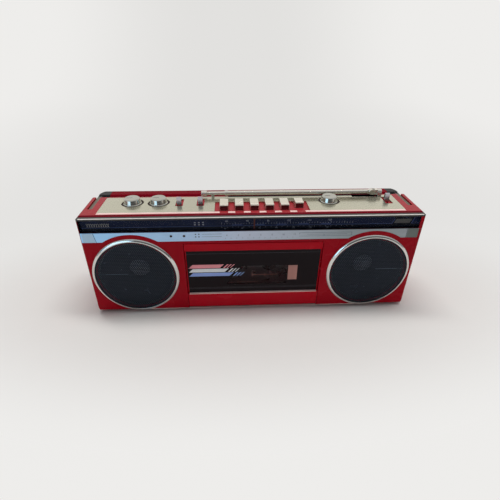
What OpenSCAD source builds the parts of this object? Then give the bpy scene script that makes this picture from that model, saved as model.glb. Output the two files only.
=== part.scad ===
// Compact stereo radio cassette recorder with a folding handle and a telescopic antenna.
// The front face looks towards -Y, +Z is up, and the origin is under the middle, on the floor.

/* [Case] */
// Width of the cabinet
case_w = 400; // [380:1:440]
// Height of the top deck above the cabinet's underside
case_h = 131; // [129:0.5:145]
// Depth of the cabinet from its front face to its rear face
case_d = 88; // [86:0.5:110]
// Depth of the raised top deck, up to the ledge that holds the handle
deck_d = 62; // [61:0.5:64]
// Depth of the handle ledge below the top deck
ledge_drop = 20; // [19:0.5:23]
// Thickness of the moulded walls
wall = 2.5; // [2:0.1:3]
// Thickness of the top deck
deck_t = 4; // [3.6:0.1:5]
// Radius of the lower corners seen from the front
corner_r = 6; // [2:0.5:8]
// Radius of the upper corners seen from the front
crown_r = 2; // [1:0.5:3]
// Radius of the upright front edges
edge_r = 2.5; // [1:0.5:4]
// Radius of the upright rear edges
rear_edge_r = 6; // [2:0.5:8]
// Chamfer along the lower and rear edges
base_chamfer = 1.5; // [0.5:0.1:2]
// Height of the rubber feet
foot_h = 3; // [2:0.5:6]
// Radius of the rubber feet
foot_r = 7; // [4:0.5:9]
// Distance of the feet from the cabinet's sides
foot_inset_x = 35; // [20:1:60]
// Distance of the feet from the front and rear faces
foot_inset_y = 13; // [11:0.5:14]

/* [Speakers] */
// Distance of the chrome rings from the cabinet's sides
ring_side = 3.6; // [3.5:0.1:6]
// Height of the chrome rings' lowest points above the underside
ring_low = 0; // [0:0.1:3]
// Distance from the chrome rings' highest points to the dial
ring_top_gap = 7.9; // [7.5:0.1:10]
// Distance from a ring's outer edge to the round opening in the front wall
hole_margin = 6.4; // [5:0.1:7.5]
// Width of the chrome ring
ring_w = 3.4; // [3:0.1:4.4]
// How far the chrome ring stands out of the front face
ring_proud = 2.2; // [2:0.1:3]
// Radius of the ring's rounded face
ring_round = 4.1; // [4:0.1:6]
// Thickness of the grille with its folded edge
grille_t = 1.5; // [0.8:0.1:1.6]
// How far the ring laps over the grille's edge
grille_lap = 1.4; // [1:0.1:1.6]
// Width of the plain red rim round each ring
rim_w = 5.2; // [4:0.1:6]
// Depth of the loudspeaker basket behind the front wall
basket_d = 26; // [22:0.5:28]
// Radius of the magnet
magnet_r = 27; // [22:0.5:30]
// Length of the magnet
magnet_l = 12; // [10:0.5:14]

/* [Cassette door] */
// Distance between the cassette door and the chrome rings
door_margin = 8.6; // [6:0.1:12]
// Height of the rail between the door and the silver strip
rail_h = 4; // [3:0.1:6]
// Thickness of the door's frame
door_t = 6.5; // [6:0.1:7]
// Radius of the door's lower edge, which turns about the hinge
door_foot_r = 4; // [3.5:0.1:4.2]
// Gap round the door
door_gap = 0.6; // [0.4:0.1:1]
// Lower edge of the window
window_low = 23.7; // [22:0.1:26]
// Height of the door's rail above the window
window_rail = 9.7; // [8:0.1:12]
// How far the window lies behind the front face
window_recess = 2.5; // [1.5:0.1:3]
// Thickness of the window
window_t = 2; // [1.5:0.1:2.5]
// Width of the ledge behind the window
window_ledge = 6; // [4:0.5:7]
// Radius of the door's hinge stubs
door_pin_r = 2; // [1.5:0.1:2.4]
// Width of the cassette holder
holder_w = 102; // [101:0.5:104]
// Depth of the cassette holder
holder_d = 14; // [13.5:0.1:14.5]
// Thickness of the cassette holder's plates
holder_t = 1.5; // [1:0.1:2]

/* [Dial] */
// Height of the tuning dial
dial_h = 15.6; // [14:0.1:17]
// Distance of the dial's ends from the cabinet's sides
dial_inset = 1.2; // [1:0.1:6]
// Thickness of the dial's lens
lens_t = 2; // [1.5:0.1:2.5]
// Space behind the lens in which the pointer runs
pointer_space = 3; // [2.5:0.1:4]
// Thickness of the dial's printed back plate
dial_plate_t = 1.2; // [0.8:0.1:1.5]
// Height of the silver strip below the dial
strip_h = 12.2; // [10:0.1:13]
// Thickness of the silver strip
strip_t = 1.2; // [0.8:0.1:1.5]
// Distance of the first indicator lamp from the middle
lamp_x = 96.5; // [94:0.5:100]
// Distance between the indicator lamps
lamp_pitch = 15; // [8:0.5:20]
// Radius of the indicator lamps
lamp_r = 1.4; // [1:0.1:2]
// Pointer travel to each side of the middle
pointer_travel = 57; // [40:0.5:70]
// Width of the pointer
pointer_w = 1.6; // [1:0.1:2.5]

/* [Top] */
// Depth of the silver trim bar
trim_d = 7; // [5:0.1:8]
// Height of the silver trim bar
trim_t = 1.5; // [1:0.1:2]
// Depth of the slope behind the trim bar
rim_slope = 2.5; // [1.5:0.1:3]
// Height of the slope behind the trim bar
rim_rise = 1.2; // [0.5:0.1:2]
// Distance of the champagne panel from the cabinet's sides
panel_inset = 19; // [17:0.5:20]
// Distance of the panel's front edge from the front face
panel_front = 15; // [13:0.1:16]
// Distance of the panel's rear edge from the deck's rear edge
panel_margin = 2; // [1:0.1:3]
// Thickness of the panel
panel_t = 2; // [1.5:0.1:2.2]

/* [Knobs] */
// Radius of the knobs
knob_r = 10.3; // [8.5:0.1:10.4]
// Radius of the skirt round a knob's foot
knob_skirt_r = 11; // [9:0.1:11]
// Height of the knobs above the deck
knob_h = 6.3; // [5:0.1:10]
// Radius of the dish round a knob
dish_r = 13.6; // [12:0.1:15]
// Width of the sloped edge of the dish
dish_slope = 1.5; // [0.8:0.1:2]
// Radius of the control shafts
shaft_r = 3; // [2:0.1:3.2]
// Position of the volume knob from the middle
volume_x = -146; // [-148:0.5:-145]
// Position of the tone knob from the middle
tone_x = -114.5; // [-115:0.5:-112]
// Position of the tuning knob from the middle
tuning_x = 95.5; // [94:0.5:98]
// Distance of the knobs from the front face
knob_y = 44; // [40:0.5:44.5]

/* [Lever switches] */
// Position of the function lever from the middle
function_x = -89; // [-92:0.5:-87]
// Position of the band lever from the middle
band_x = -63.5; // [-67:0.5:-62]
// Distance of the mode lever from the panel's end
mode_inset = 12.5; // [11:0.5:15]
// Width of the lever openings in the panel
slot_w = 9; // [8:0.5:11]
// Length of the lever openings in the panel
slot_l = 21; // [20:0.5:23]
// Distance of the lever openings from the front face
slot_y = 32; // [30:0.5:32.5]
// Width of the lever caps
lever_w = 5.6; // [4:0.1:6]
// Length of the lever caps
lever_l = 5; // [4:0.1:6]
// Height of the lever caps above the deck
lever_h = 8.4; // [5:0.1:9]
// Travel of the levers
lever_travel = 10; // [6:0.5:11]
// Place of the function lever in its travel, from the rear end to the front end
function_set = 1; // [0:0.1:1]
// Place of the band lever in its travel
band_set = 1; // [0:0.1:1]
// Place of the mode lever in its travel
mode_set = 0.5; // [0:0.1:1]

/* [Keys] */
// Width of the cassette keys
key_w = 10; // [8:0.1:12]
// Distance between the cassette keys
key_pitch = 18.1; // [17:0.1:19]
// Position of the first key's centre
key_first = -34.9; // [-36:0.1:-34]
// Distance of the keys from the front face
key_y = 22; // [20:0.5:23]
// Length of the keys, front to rear
key_l = 21; // [18:0.5:22]
// How far the front of the last key stands behind the others
pause_set_back = 5; // [0:0.5:6]
// Height of the keys above the deck
key_rise = 5.2; // [4.8:0.1:8]
// Travel of the keys
key_travel = 4.5; // [3:0.1:4.6]
// Clearance round each key
key_gap = 0.25; // [0.15:0.05:0.3]
// Distance from the outer keys to the ends of the key pit
pit_margin = 6; // [4:0.5:8]

/* [Handle] */
// Distance of the handle arms' middles from the cabinet's sides
arm_inset = 8; // [7.5:0.1:9]
// Thickness of the handle arms
arm_t = 5; // [4:0.1:5.4]
// Height of the handle arms
arm_h = 9; // [7:0.1:10]
// Gap beside the handle arms
arm_gap = 0.5; // [0.3:0.1:0.8]
// Distance of the handle's pivot from the front face
pivot_y = 32; // [31.5:0.1:33]
// Depth of the handle's pivot below the top deck
pivot_drop = 6; // [5.5:0.1:7]
// Radius of the handle's pivot stubs
pivot_r = 2.5; // [2:0.1:3]
// Depth of the grip, front to rear
grip_d = 18; // [15:0.5:18]
// Height of the grip
grip_h = 16; // [12:0.5:16]
// Corner radius of the grip's section
grip_r = 4; // [3:0.5:7]
// Depth of the grip's middle below the top deck
grip_drop = 8.8; // [8.5:0.1:10]
// Radius of the handle's elbows seen from above
elbow_r = 14; // [8:0.5:16]
// Distance of the red grip's ends from the cabinet's sides
grip_inset = 19.5; // [19:0.5:35]
// Gap between the deck's rear edge and the grip
finger_gap = 7; // [6.9:0.1:7.5]

/* [Antenna] */
// Distance of the antenna from the deck's rear edge
antenna_back = 3.5; // [3.4:0.1:4]
// Height of the antenna's axis above the deck
antenna_rise = 5.2; // [5:0.1:6]
// Distance of the antenna's tilt pin from the cabinet's side
tilt_inset = 47; // [46:0.5:50]
// Length of the outer tube, from the tilt pin to its mouth
outer_tube_l = 187; // [176:0.5:190]
// Radius of the outer tube
outer_tube_r = 2.85; // [2.7:0.05:3]
// Radius of the middle tube
middle_tube_r = 2.2; // [2:0.05:2.3]
// Length of the middle tube that stays out
middle_tube_out = 22; // [20:0.5:26]
// Radius of the tip rod
tip_rod_r = 1.4; // [1:0.05:1.6]
// Radius of the tip's cap
tip_cap_r = 3.25; // [2.8:0.05:3.5]
// Length of the tip's cap
tip_cap_l = 7; // [4:0.5:10]

/* [Tape deck] */
// Distance of the deck's plate behind the front face
chassis_y = 24; // [23.5:0.1:25]
// Thickness of the deck's plate
chassis_t = 2; // [1.5:0.1:2.2]
// Height of the deck's plate above the door's opening
chassis_rise = 2.9; // [2.5:0.1:4]
// Distance between the reel spindles
reel_pitch = 42.5; // [42:0.1:43]
// Distance of the reel spindles below the capstan
reel_drop = 24.5; // [23.5:0.1:26]
// Radius of the reel tables
reel_r = 10; // [9:0.1:10.5]
// Position of the capstan from the middle
capstan_x = 23; // [22:0.5:24]
// Distance of the capstan below the top of the door's opening
capstan_drop = 19.1; // [18:0.1:20]
// Radius of the capstan
capstan_r = 1.2; // [1:0.05:1.5]
// Radius of the flywheel
flywheel_r = 24; // [20:0.5:24.5]
// Thickness of the flywheel
flywheel_t = 8; // [5:0.5:9]
// Position of the motor from the middle
motor_x = -45; // [-50:0.5:-44]
// Gap between the battery bay and the motor
motor_lift = 5; // [3:0.5:8]
// Radius of the motor
motor_r = 15; // [12:0.5:16]
// Length of the motor
motor_l = 21; // [16:0.5:21.5]
// Radius of the motor's pulley
pulley_r = 4; // [3:0.1:5]
// Radius of the pinch roller
roller_r = 5.5; // [5:0.1:5.6]

/* [Power] */
// Length of the battery bay
bay_w = 250; // [230:1:256]
// Depth of the battery bay
bay_d = 34; // [33:0.5:35]
// Height of the battery bay
bay_h = 35; // [34:0.5:37]
// Thickness of the battery door
battery_door_t = 3; // [2.6:0.1:4]
// Distance of the mains inlet from the cabinet's side
inlet_inset = 42; // [35:0.5:50]
// Height of the mains inlet above the underside
inlet_z = 28; // [24:0.5:32]
// Distance of the headphone jack from the cabinet's side
jack_inset = 42; // [35:0.5:50]
// Radius of the headphone jack's bore
jack_bore_r = 1.8; // [1.75:0.05:3.2]
// Length of the headphone jack's bore
jack_bore_l = 14; // [10:0.5:16]

/* [Hidden] */
$fn = 64;
// Small overshoot of a cutting shape
over = 1;
// Running clearance of a shaft in its bore
run = 0.06;
// Clearance between pieces that are set into one another
fit = 0.15;
// Clearance between pieces that move past each other
free_gap = 0.3;

front_y = -(case_d + ring_proud) / 2 + ring_proud;
half_w = case_w / 2;
inner_half = half_w - wall;
ceiling = case_h - deck_t;
board_drop = 17;
board_top = ceiling - board_drop;
ledge_h = case_h - ledge_drop;
trim_top = case_h - rim_rise;
rim_y = trim_d + rim_slope;
panel_half = half_w - panel_inset;
panel_back = deck_d - panel_margin;
panel_floor = case_h - panel_t;

// Dial
dial_high = trim_top - trim_t;
dial_low = dial_high - dial_h;
dial_half = half_w - dial_inset;
dial_depth = lens_t + pointer_space + dial_plate_t;
strip_low = dial_low - strip_h;
pointer_t = 1;
pointer_front = lens_t + (pointer_space - pointer_t) / 2;
pointer_margin = 1;
pointer_tail = 2;
pointer_z = (dial_low + dial_high) / 2;
pointer_slot_h = 3;
pointer_slot_end = 3;
pointer_slot_half = pointer_travel + pointer_slot_end;
lamp_rise = 7;
lamp_z = strip_low + lamp_rise;
lamp_flange_w = 1;
lamp_flange_r = lamp_r + lamp_flange_w;
lamp_flange_t = 2;

// Loudspeakers
ring_r = (dial_low - ring_top_gap - ring_low) / 2;
ring_foot = 0.3;
grille_r = ring_r - ring_w + grille_lap - fit;
rim_r = ring_r + rim_w;
speaker_x = half_w - ring_side - ring_r;
speaker_z = ring_low + ring_r;
speaker_hole_r = ring_r - hole_margin;
flange_r = speaker_z - wall - free_gap;
flange_t = 2;
basket_t = 1.5;
basket_back = wall + basket_d;
sleeve_l = 2;
cone_margin = 2.5;
cone_r = speaker_hole_r - cone_margin;
cone_t = 0.8;
cone_lip = 3;
cone_travel = 1;
neck_depth = 8;
coil_r = 13;
coil_t = 0.6;
coil_gap = 1;
coil_reach = 6;
pole_plate_t = 3;
dome_rise = 8;
dome_r = norm([coil_r, dome_rise]);

// Cassette door
door_half = speaker_x - ring_r - door_margin;
door_top = strip_low - rail_h;
window_high = door_top - window_rail;
well_half = door_half + door_gap;
well_top = door_top + door_gap;
hinge_y = door_foot_r;
hinge_z = door_foot_r + door_gap;
door_bottom_back = 2 * door_foot_r;
door_edge = 1.2;
holder_drop = 2;
holder_lip = 4;
holder_lip_inset = 10;
holder_back = door_t + holder_d;

// Handle
pivot_z = case_h - pivot_drop;
arm_x = half_w - arm_inset;
grip_half = half_w - grip_inset;
slot_half = arm_t / 2 + arm_gap;
channel_wall = 2;
channel_gap = 1.2;
channel_front = pivot_y - arm_h / 2 - channel_gap;
grip_y = deck_d + finger_gap + grip_d / 2;
grip_z = case_h - grip_drop;

// Cassette keys
keys = ["record", "play", "rewind", "forward", "stop", "pause"];
function key_x(i) = key_first + i * key_pitch;
function key_front(i) = key_y + (i == len(keys) - 1 ? pause_set_back : 0);
pit_left = key_x(0) - key_w / 2 - pit_margin;
pit_right = key_x(len(keys) - 1) + key_w / 2 + pit_margin;
key_skirt = 5;
key_foot = ceiling - key_skirt;
key_edge = 1;
key_lip = 2.5;
key_lip_h = 0.5;
stem_foot = board_top + free_gap;
stem_w = 4;
stem_l = 6;
stem_y = key_y + key_l / 2;
plunger_top = stem_foot - free_gap;

// Circuit boards and what stands on them
board_t = 1.6;
board_front = 24;
board_back_gap = 1.5;
board_back = deck_d - wall - board_back_gap;
board_post_r = 3;
left_board_inset = 18;
right_board_inset = 15;
left_board_gap = 2;
right_board_gap = 9.4;
left_board = [-half_w + left_board_inset, pit_left - left_board_gap];
right_board = [pit_right + right_board_gap, half_w - right_board_inset];
post_inset = 5;
pot_r = 8;
bushing_t = 0.8;
bushing_r = shaft_r + bushing_t;
bushing_rise = 0.2;
shaft_l = 8;
shaft_foot = ceiling - shaft_l;
shaft_end_gap = 0.5;
tuning_pulley_r = 6;
tuning_pulley_lift = 1;
tuning_gang = [26, 20, 12];
tuning_gang_gap = 16;
tuning_gang_x = tuning_x + tuning_gang_gap;
tuning_gang_margin = 2;
tuning_gang_back = board_back - tuning_gang_margin;
ferrite_r = 4;
ferrite_l = 70;
ferrite_inset = 12;
ferrite_x = right_board[0] + ferrite_inset;
knob_places = [[volume_x, knob_y], [tone_x, knob_y], [tuning_x, knob_y]];
knob_lift = 0.5;
knob_foot = panel_floor + knob_lift;
skirt_h = 1.2;
skirt_slope = 0.8;
knob_draft = 1;
knob_edge = 0.9;
mark_w = 1;
mark_d = 0.5;
mark_l = 7;
mark_past_axis = 1;
mode_x = panel_half - mode_inset;
lever_places = [function_x, band_x, mode_x];
lever_end_gap = 1.5;
lever_y = slot_y + slot_l - lever_l / 2 - lever_end_gap;
lever_front_slope = 1.25;
lever_back_slope = 1;
lever_stem_w = 1.4;
lever_stem_l = 4;
switch_w = 12;
switch_end = 3;
groove_depth = 6;
groove_front = lever_y - lever_travel - lever_stem_l / 2 - free_gap;
groove_back = lever_y + lever_stem_l / 2 + free_gap;

// Screws
screw_r = 1.5;
screw_head_r = 3;
screw_head_t = 2;
screw_end_gap = 3;
boss_r = 5;
screw_inset = 6.5;
screw_x = half_w - screw_inset;
screw_low = 14;
screw_drop = 13;
screw_high = ledge_h - screw_drop;
boss_l = 20;
counterbore = 4;

// Power
bay_y = case_d - battery_door_t - bay_d;
bay_z = 5;
bay_wall = 2;
bay_lip = 3;
battery_step = 1.5;
contact_t = 0.8;
contact_inset = 6;
inlet_x = half_w - inlet_inset;
jack_x = -half_w + jack_inset;
inlet_half = 9;
inlet_half_h = 5.5;
inlet_l = 14;
inlet_floor = 3;
inlet_flange = 3;
inlet_flange_t = 2;
inlet_slot_r = 3.6;
inlet_pin_r = 1.1;
inlet_pin_x = 4.2;
inlet_pin_drop = 2;
jack_r = 4;
jack_wall = 2;
core_inset = 62;
core_x = half_w - core_inset;
core_z = 50;
core = [44, 22, 36];
winding_inset = 8;
winding_inset_z = 5;
winding_out = 6;

// Tape deck
chassis_boss_r = 4;
chassis_screw_x = well_half + wall + chassis_boss_r - over;
chassis_screw_l = 10;
chassis_screw_inset = 8;
chassis_margin = 2.8;
chassis_half = chassis_screw_x + screw_head_r + chassis_margin;
chassis_low = 8;
chassis_top = well_top + chassis_rise;
chassis_screw_low = chassis_low + chassis_screw_inset;
chassis_screw_high = chassis_top - chassis_screw_inset;
well_roof_gap = 3;
well_roof_d = chassis_y - well_roof_gap;
axle_r = 1;
capstan_z = well_top - capstan_drop;
reel_z = capstan_z - reel_drop;
capstan = [capstan_x, capstan_z];
capstan_hub_r = 3;
drive_gap = 0.2;
takeup = [reel_pitch / 2, reel_z];
drive_vector = takeup - capstan;
drive_l = norm(drive_vector);
idler_r = (drive_l - capstan_hub_r - reel_r - 2 * drive_gap) / 2;
idler = capstan + drive_vector / drive_l * (capstan_hub_r + drive_gap + idler_r);
table_t = 2.6;
table_back = chassis_y - free_gap;
table_front = table_back - table_t;
spindle_shaft_r = 1.5;
spindle_r = 4.6;
spindle_tail = 1;
spindle_l = 12;
spindle_front = chassis_y - spindle_l;
fins = 3;
fin_t = 1.2;
fin_reach = 1.4;
fin_back = 2;
flywheel_gap = 2;
flywheel_y = chassis_y + chassis_t + flywheel_gap;
flywheel_hub_r = 6;
motor_z = bay_z + bay_h + bay_wall + motor_lift + motor_r;
motor_gap = 3;
motor_y = flywheel_y + flywheel_t + motor_gap;
motor_post_r = 2.5;
motor_post_circle = 10.8;
motor_post_turns = [110, 200, 290];
belt_y = flywheel_y + flywheel_t / 2;
belt_w = 3;
belt_t = 1;
belt_steps = 40;
head_plate_t = 1.3;
head_plate_back = chassis_y - free_gap;
head_plate_front = head_plate_back - head_plate_t;
head_plate_left = -30;
head_plate_side = 8;
head_plate_right = capstan_x + head_plate_side;
head_plate_drop = 2;
head_plate_high = chassis_top - head_plate_drop;
head_plate_rise = 10;
head_plate_low = capstan_z + head_plate_rise;
push_tab_half = 3.5;
push_tab_t = 2;
head_rise = 8;
head_low = capstan_z + head_rise;
head_h = 9;
head_reach = 1;
head_front = spindle_front - head_reach;
play_head_w = 14;
erase_head_w = 9;
erase_head_x = -21.5;
roller_z = capstan_z + capstan_r + roller_r + free_gap + key_travel;
roller_end_gap = 0.5;
roller_back_gap = 1.5;

// Antenna
tilt_x = half_w - tilt_inset;
antenna_y = deck_d - antenna_back;
antenna_z = case_h + antenna_rise;
mouth_x = tilt_x - outer_tube_l;
middle_end_x = mouth_x - middle_tube_out;
section_end = 18;
middle_inner_x = tilt_x - section_end;
section_space = 4;
section_gap = 0.3;
collar_t = 0.4;
collar_l = 4;
bracket_gap = 8;
bracket_l = 5;
bracket_left = tilt_x + bracket_gap;
bracket_right = bracket_left + bracket_l;
bracket_r = 3.3;
bracket_half = 3.3;
stub_r = 2;
trough_inset = 72;
trough_left = half_w - trough_inset;
trough_half = 4.5;
trough_depth = 2.8;
trough_floor = case_h - trough_depth;
fork_r = 3.2;
yoke_gap = 1.2;
tongue_half = 1.5;
tongue_gap = 0.2;
tongue_h = 5;
shoulder_gap = 2;
tilt_pin_r = 1.2;
clip_shift = 4;
clip_x = mouth_x - middle_tube_out / 2 - clip_shift;
clip_half = 1.8;
clip_drop = 0.5;

red = [0.51, 0.03, 0.09];
champagne = [0.68, 0.66, 0.58];
chrome = [0.82, 0.83, 0.85];
silver = [0.62, 0.66, 0.7];
black = [0.07, 0.08, 0.1];
dark_grey = [0.24, 0.24, 0.26];
steel = [0.6, 0.61, 0.62];
brass = [0.7, 0.55, 0.3];

// Places a piece that is measured from the middle of the front face's lower edge
module seat() {
  translate([0, front_y, foot_h]) children();
}

module box(x0, x1, y0, y1, z0, z1) {
  translate([x0, y0, z0]) cube([x1 - x0, y1 - y0, z1 - z0]);
}

module rod_x(r, x0, x1, y, z) {
  translate([x0, y, z]) rotate([0, 90, 0]) cylinder(r = r, h = x1 - x0);
}

module rod_y(r, y0, y1, x, z) {
  translate([x, y1, z]) rotate([90, 0, 0]) cylinder(r = r, h = y1 - y0);
}

module rod_z(r, z0, z1, x, y) {
  translate([x, y, z0]) cylinder(r = r, h = z1 - z0);
}

// Pulls a side view, drawn in Y and Z, along X
module along_x(x0, x1) {
  translate([x0, 0, 0]) rotate([90, 0, 90]) linear_extrude(x1 - x0) children();
}

// Pulls a front view, drawn in X and Z, along Y
module along_y(y0, y1) {
  translate([0, y1, 0]) rotate([90, 0, 0]) linear_extrude(y1 - y0) children();
}

module along_z(z0, z1) {
  translate([0, 0, z0]) linear_extrude(z1 - z0) children();
}

// Turns a profile of radius and depth about an axis along Y
module round_y(x, z) {
  translate([x, 0, z]) rotate([-90, 0, 0]) rotate_extrude() children();
}

module on_sides() {
  children();
  mirror([1, 0, 0]) children();
}

module rectangle(x0, x1, y0, y1) {
  translate([x0, y0]) square([x1 - x0, y1 - y0]);
}

// Rectangle with round corners, of one radius below and another above
module round_rectangle(x0, x1, y0, y1, low_r, high_r) {
  middle = (y0 + y1) / 2;
  rectangle(x0, x1, y0 + low_r, y1 - high_r);
  rectangle(x0 + low_r, x1 - low_r, y0, middle);
  rectangle(x0 + high_r, x1 - high_r, middle, y1);
  for (x = [x0 + low_r, x1 - low_r]) translate([x, y0 + low_r]) circle(r = low_r);
  for (x = [x0 + high_r, x1 - high_r]) translate([x, y1 - high_r]) circle(r = high_r);
}

module speaker_circles(r) {
  for (s = [-1, 1]) translate([s * speaker_x, speaker_z]) circle(r = r);
}

// The outside of both cabinet halves together
module cabinet_outside() {
  intersection() {
    along_x(-half_w - over, half_w + over) polygon([
      [base_chamfer, 0], [case_d - base_chamfer, 0], [case_d, base_chamfer],
      [case_d, ledge_h - base_chamfer], [case_d - base_chamfer, ledge_h], [deck_d, ledge_h],
      [deck_d, case_h], [rim_y, case_h], [trim_d, trim_top], [trim_d, dial_high],
      [0, dial_high], [0, base_chamfer]
    ]);
    along_y(-over, case_d + over) round_rectangle(-half_w, half_w, 0, case_h, corner_r, crown_r);
    cabinet_plan();
  }
}

// The cabinet's outline seen from above
module cabinet_plan() {
  along_z(-over, case_h + over) round_rectangle(-half_w, half_w, 0, case_d, edge_r, rear_edge_r);
}

module screw_places() {
  for (x = [-screw_x, screw_x]) for (z = [screw_low, screw_high]) translate([x, 0, z]) children();
}

module board_posts() {
  for (b = [left_board, right_board])
    for (x = [b[0] + post_inset, b[1] - post_inset])
      for (y = [board_front + post_inset, board_back - post_inset])
        rod_z(board_post_r, board_top, ceiling + over, x, y);
}

// What stays standing inside the front half
module front_inside() {
  on_sides() {
    box(arm_x - slot_half - channel_wall, half_w, channel_front - channel_wall, deck_d + over,
        ledge_h - wall, case_h);
    box(well_half, well_half + wall, 0, chassis_y, 0, well_top + wall);
    for (z = [chassis_screw_low, chassis_screw_high])
      rod_y(chassis_boss_r, 0, chassis_y, chassis_screw_x, z);
  }
  box(-half_w, half_w, deck_d - wall, deck_d + over, ledge_h - wall, case_h);
  box(-well_half - wall, well_half + wall, 0, well_roof_d, well_top, well_top + wall);
  box(-half_w, half_w, 0, dial_depth + wall, dial_low - wall, case_h);
  screw_places() rod_y(boss_r, deck_d - boss_l, deck_d, 0, 0);
  board_posts();
}

module strip_outline(gap) {
  difference() {
    rectangle(-dial_half + gap, dial_half - gap, strip_low + gap, dial_low);
    speaker_circles(rim_r + gap);
  }
}

module front_openings() {
  for (s = [-1, 1]) rod_y(speaker_hole_r, -over, wall + over, s * speaker_x, speaker_z);
  box(-well_half, well_half, -over, door_bottom_back + door_gap, -over, well_top);
  box(-dial_half, dial_half, -over, dial_depth, dial_low, dial_high + over);
  box(-pointer_slot_half, pointer_slot_half, dial_depth - over, dial_depth + wall + over,
      pointer_z - pointer_slot_h / 2, pointer_z + pointer_slot_h / 2);
  along_y(-over, strip_t) strip_outline(0);
  for (i = [0, 1]) rod_y(lamp_r + fit, -over, wall + over, -lamp_x + i * lamp_pitch, lamp_z);
  on_sides() {
    rod_x(door_pin_r + run, well_half - over, well_half + wall + over, hinge_y, hinge_z);
    for (z = [chassis_screw_low, chassis_screw_high])
      rod_y(screw_r + run, chassis_y - chassis_screw_l, chassis_y + over, chassis_screw_x, z);
  }
  screw_places() rod_y(screw_r + run, deck_d - boss_l + wall, deck_d + over, 0, 0);
}

module deck_openings() {
  box(-panel_half, panel_half, panel_front, panel_back, panel_floor, case_h + over);
  trough();
  for (i = [0 : len(keys) - 1])
    box(key_x(i) - key_w / 2 - key_gap, key_x(i) + key_w / 2 + key_gap,
        key_front(i) - key_gap, key_y + key_l + key_gap, ceiling - over, case_h + over);
  for (p = knob_places) rod_z(bushing_r + fit, ceiling - over, case_h + over, p[0], p[1]);
  for (x = lever_places)
    box(x - lever_stem_w / 2 - free_gap, x + lever_stem_w / 2 + free_gap, groove_front, groove_back,
        ceiling - over, case_h + over);
  on_sides() {
    box(arm_x - slot_half, arm_x + slot_half, channel_front, deck_d + 2 * over,
        ledge_h, case_h + over);
    rod_x(pivot_r + run, arm_x - slot_half - channel_wall - over, arm_x + slot_half + channel_wall,
          pivot_y, pivot_z);
  }
}

// Hollow at the deck's rear right, under the antenna's foot
module trough() {
  box(trough_left, bracket_right + fit, antenna_y - trough_half, deck_d + 2 * over,
      trough_floor, case_h + over);
}

module front_case() {
  color(red) seat() difference() {
    intersection() {
      cabinet_outside();
      box(-half_w, half_w, -over, deck_d, -over, case_h + over);
    }
    difference() {
      box(-inner_half, inner_half, wall, deck_d + over, wall, ceiling);
      front_inside();
    }
    front_openings();
    deck_openings();
  }
}

module bay_space() {
  box(-bay_w / 2, bay_w / 2, bay_y, case_d - battery_door_t, bay_z, bay_z + bay_h);
}

module rear_case() {
  color(red) seat() difference() {
    union() {
      difference() {
        intersection() {
          cabinet_outside();
          box(-half_w, half_w, deck_d, case_d + over, -over, ledge_h);
        }
        difference() {
          box(-inner_half, inner_half, deck_d - over, case_d - wall, wall, ledge_h - wall);
          screw_places() rod_y(boss_r, deck_d, case_d, 0, 0);
        }
      }
      box(-bay_w / 2 - bay_wall, bay_w / 2 + bay_wall, bay_y - bay_wall, case_d - wall,
          bay_z - bay_wall, bay_z + bay_h + bay_wall);
    }
    bay_space();
    battery_opening();
    screw_places() {
      rod_y(screw_r + run, deck_d - over, case_d + over, 0, 0);
      rod_y(screw_head_r + fit, case_d - counterbore, case_d + over, 0, 0);
    }
    box(inlet_x - inlet_half - fit, inlet_x + inlet_half + fit, case_d - wall - over, case_d + over,
        inlet_z - inlet_half_h - fit, inlet_z + inlet_half_h + fit);
    rod_y(jack_r + fit, case_d - wall - over, case_d + over, jack_x, inlet_z);
  }
}

// Opening of the battery bay, with a step all round that the door rests on
module battery_opening() {
  box(-bay_w / 2 + bay_lip, bay_w / 2 - bay_lip, case_d - battery_door_t - over, case_d + over,
      bay_z + bay_lip, bay_z + bay_h - bay_lip);
  box(-bay_w / 2, bay_w / 2, case_d - battery_step, case_d + over, bay_z, bay_z + bay_h);
}

module battery_door() {
  color(red) seat() {
    box(-bay_w / 2 + free_gap, bay_w / 2 - free_gap, case_d - battery_step, case_d,
        bay_z + free_gap, bay_z + bay_h - free_gap);
    box(-bay_w / 2 + bay_lip + free_gap, bay_w / 2 - bay_lip - free_gap, case_d - battery_door_t,
        case_d - battery_step, bay_z + bay_lip + free_gap, bay_z + bay_h - bay_lip - free_gap);
  }
}

module top_panel() {
  color(champagne) seat() difference() {
    box(-panel_half + fit, panel_half - fit, panel_front + fit, panel_back - fit,
        panel_floor, case_h);
    box(pit_left, pit_right, panel_front - over, key_y + key_l + key_gap, panel_floor - over,
        case_h + over);
    for (p = knob_places)
      translate([p[0], p[1], panel_floor])
        cylinder(r1 = dish_r - dish_slope, r2 = dish_r, h = panel_t);
    for (x = lever_places)
      box(x - slot_w / 2, x + slot_w / 2, slot_y, slot_y + slot_l, panel_floor - over, case_h + over);
    trough();
  }
}

module trim_bar() {
  color(silver) seat() intersection() {
    along_x(-half_w, half_w) polygon([
      [0, dial_high], [trim_d, dial_high], [trim_d, trim_top], [trim_t / 2, trim_top],
      [0, trim_top - trim_t / 2]
    ]);
    cabinet_plan();
  }
}

module dial_lens() {
  color([0.05, 0.08, 0.16, 0.8]) seat() intersection() {
    box(-dial_half + fit, dial_half - fit, 0, lens_t, dial_low, dial_high);
    cabinet_plan();
  }
}

module dial_plate() {
  color(black) seat() difference() {
    box(-dial_half + fit, dial_half - fit, lens_t + pointer_space, dial_depth, dial_low, dial_high);
    box(-pointer_slot_half, pointer_slot_half, 0, dial_depth + over,
        pointer_z - pointer_slot_h / 2, pointer_z + pointer_slot_h / 2);
  }
}

module scale_strip() {
  color(silver) seat() difference() {
    intersection() {
      along_y(0, strip_t) strip_outline(fit);
      cabinet_plan();
    }
    for (i = [0, 1]) rod_y(lamp_r + fit, -over, strip_t + over, -lamp_x + i * lamp_pitch, lamp_z);
  }
}

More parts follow.
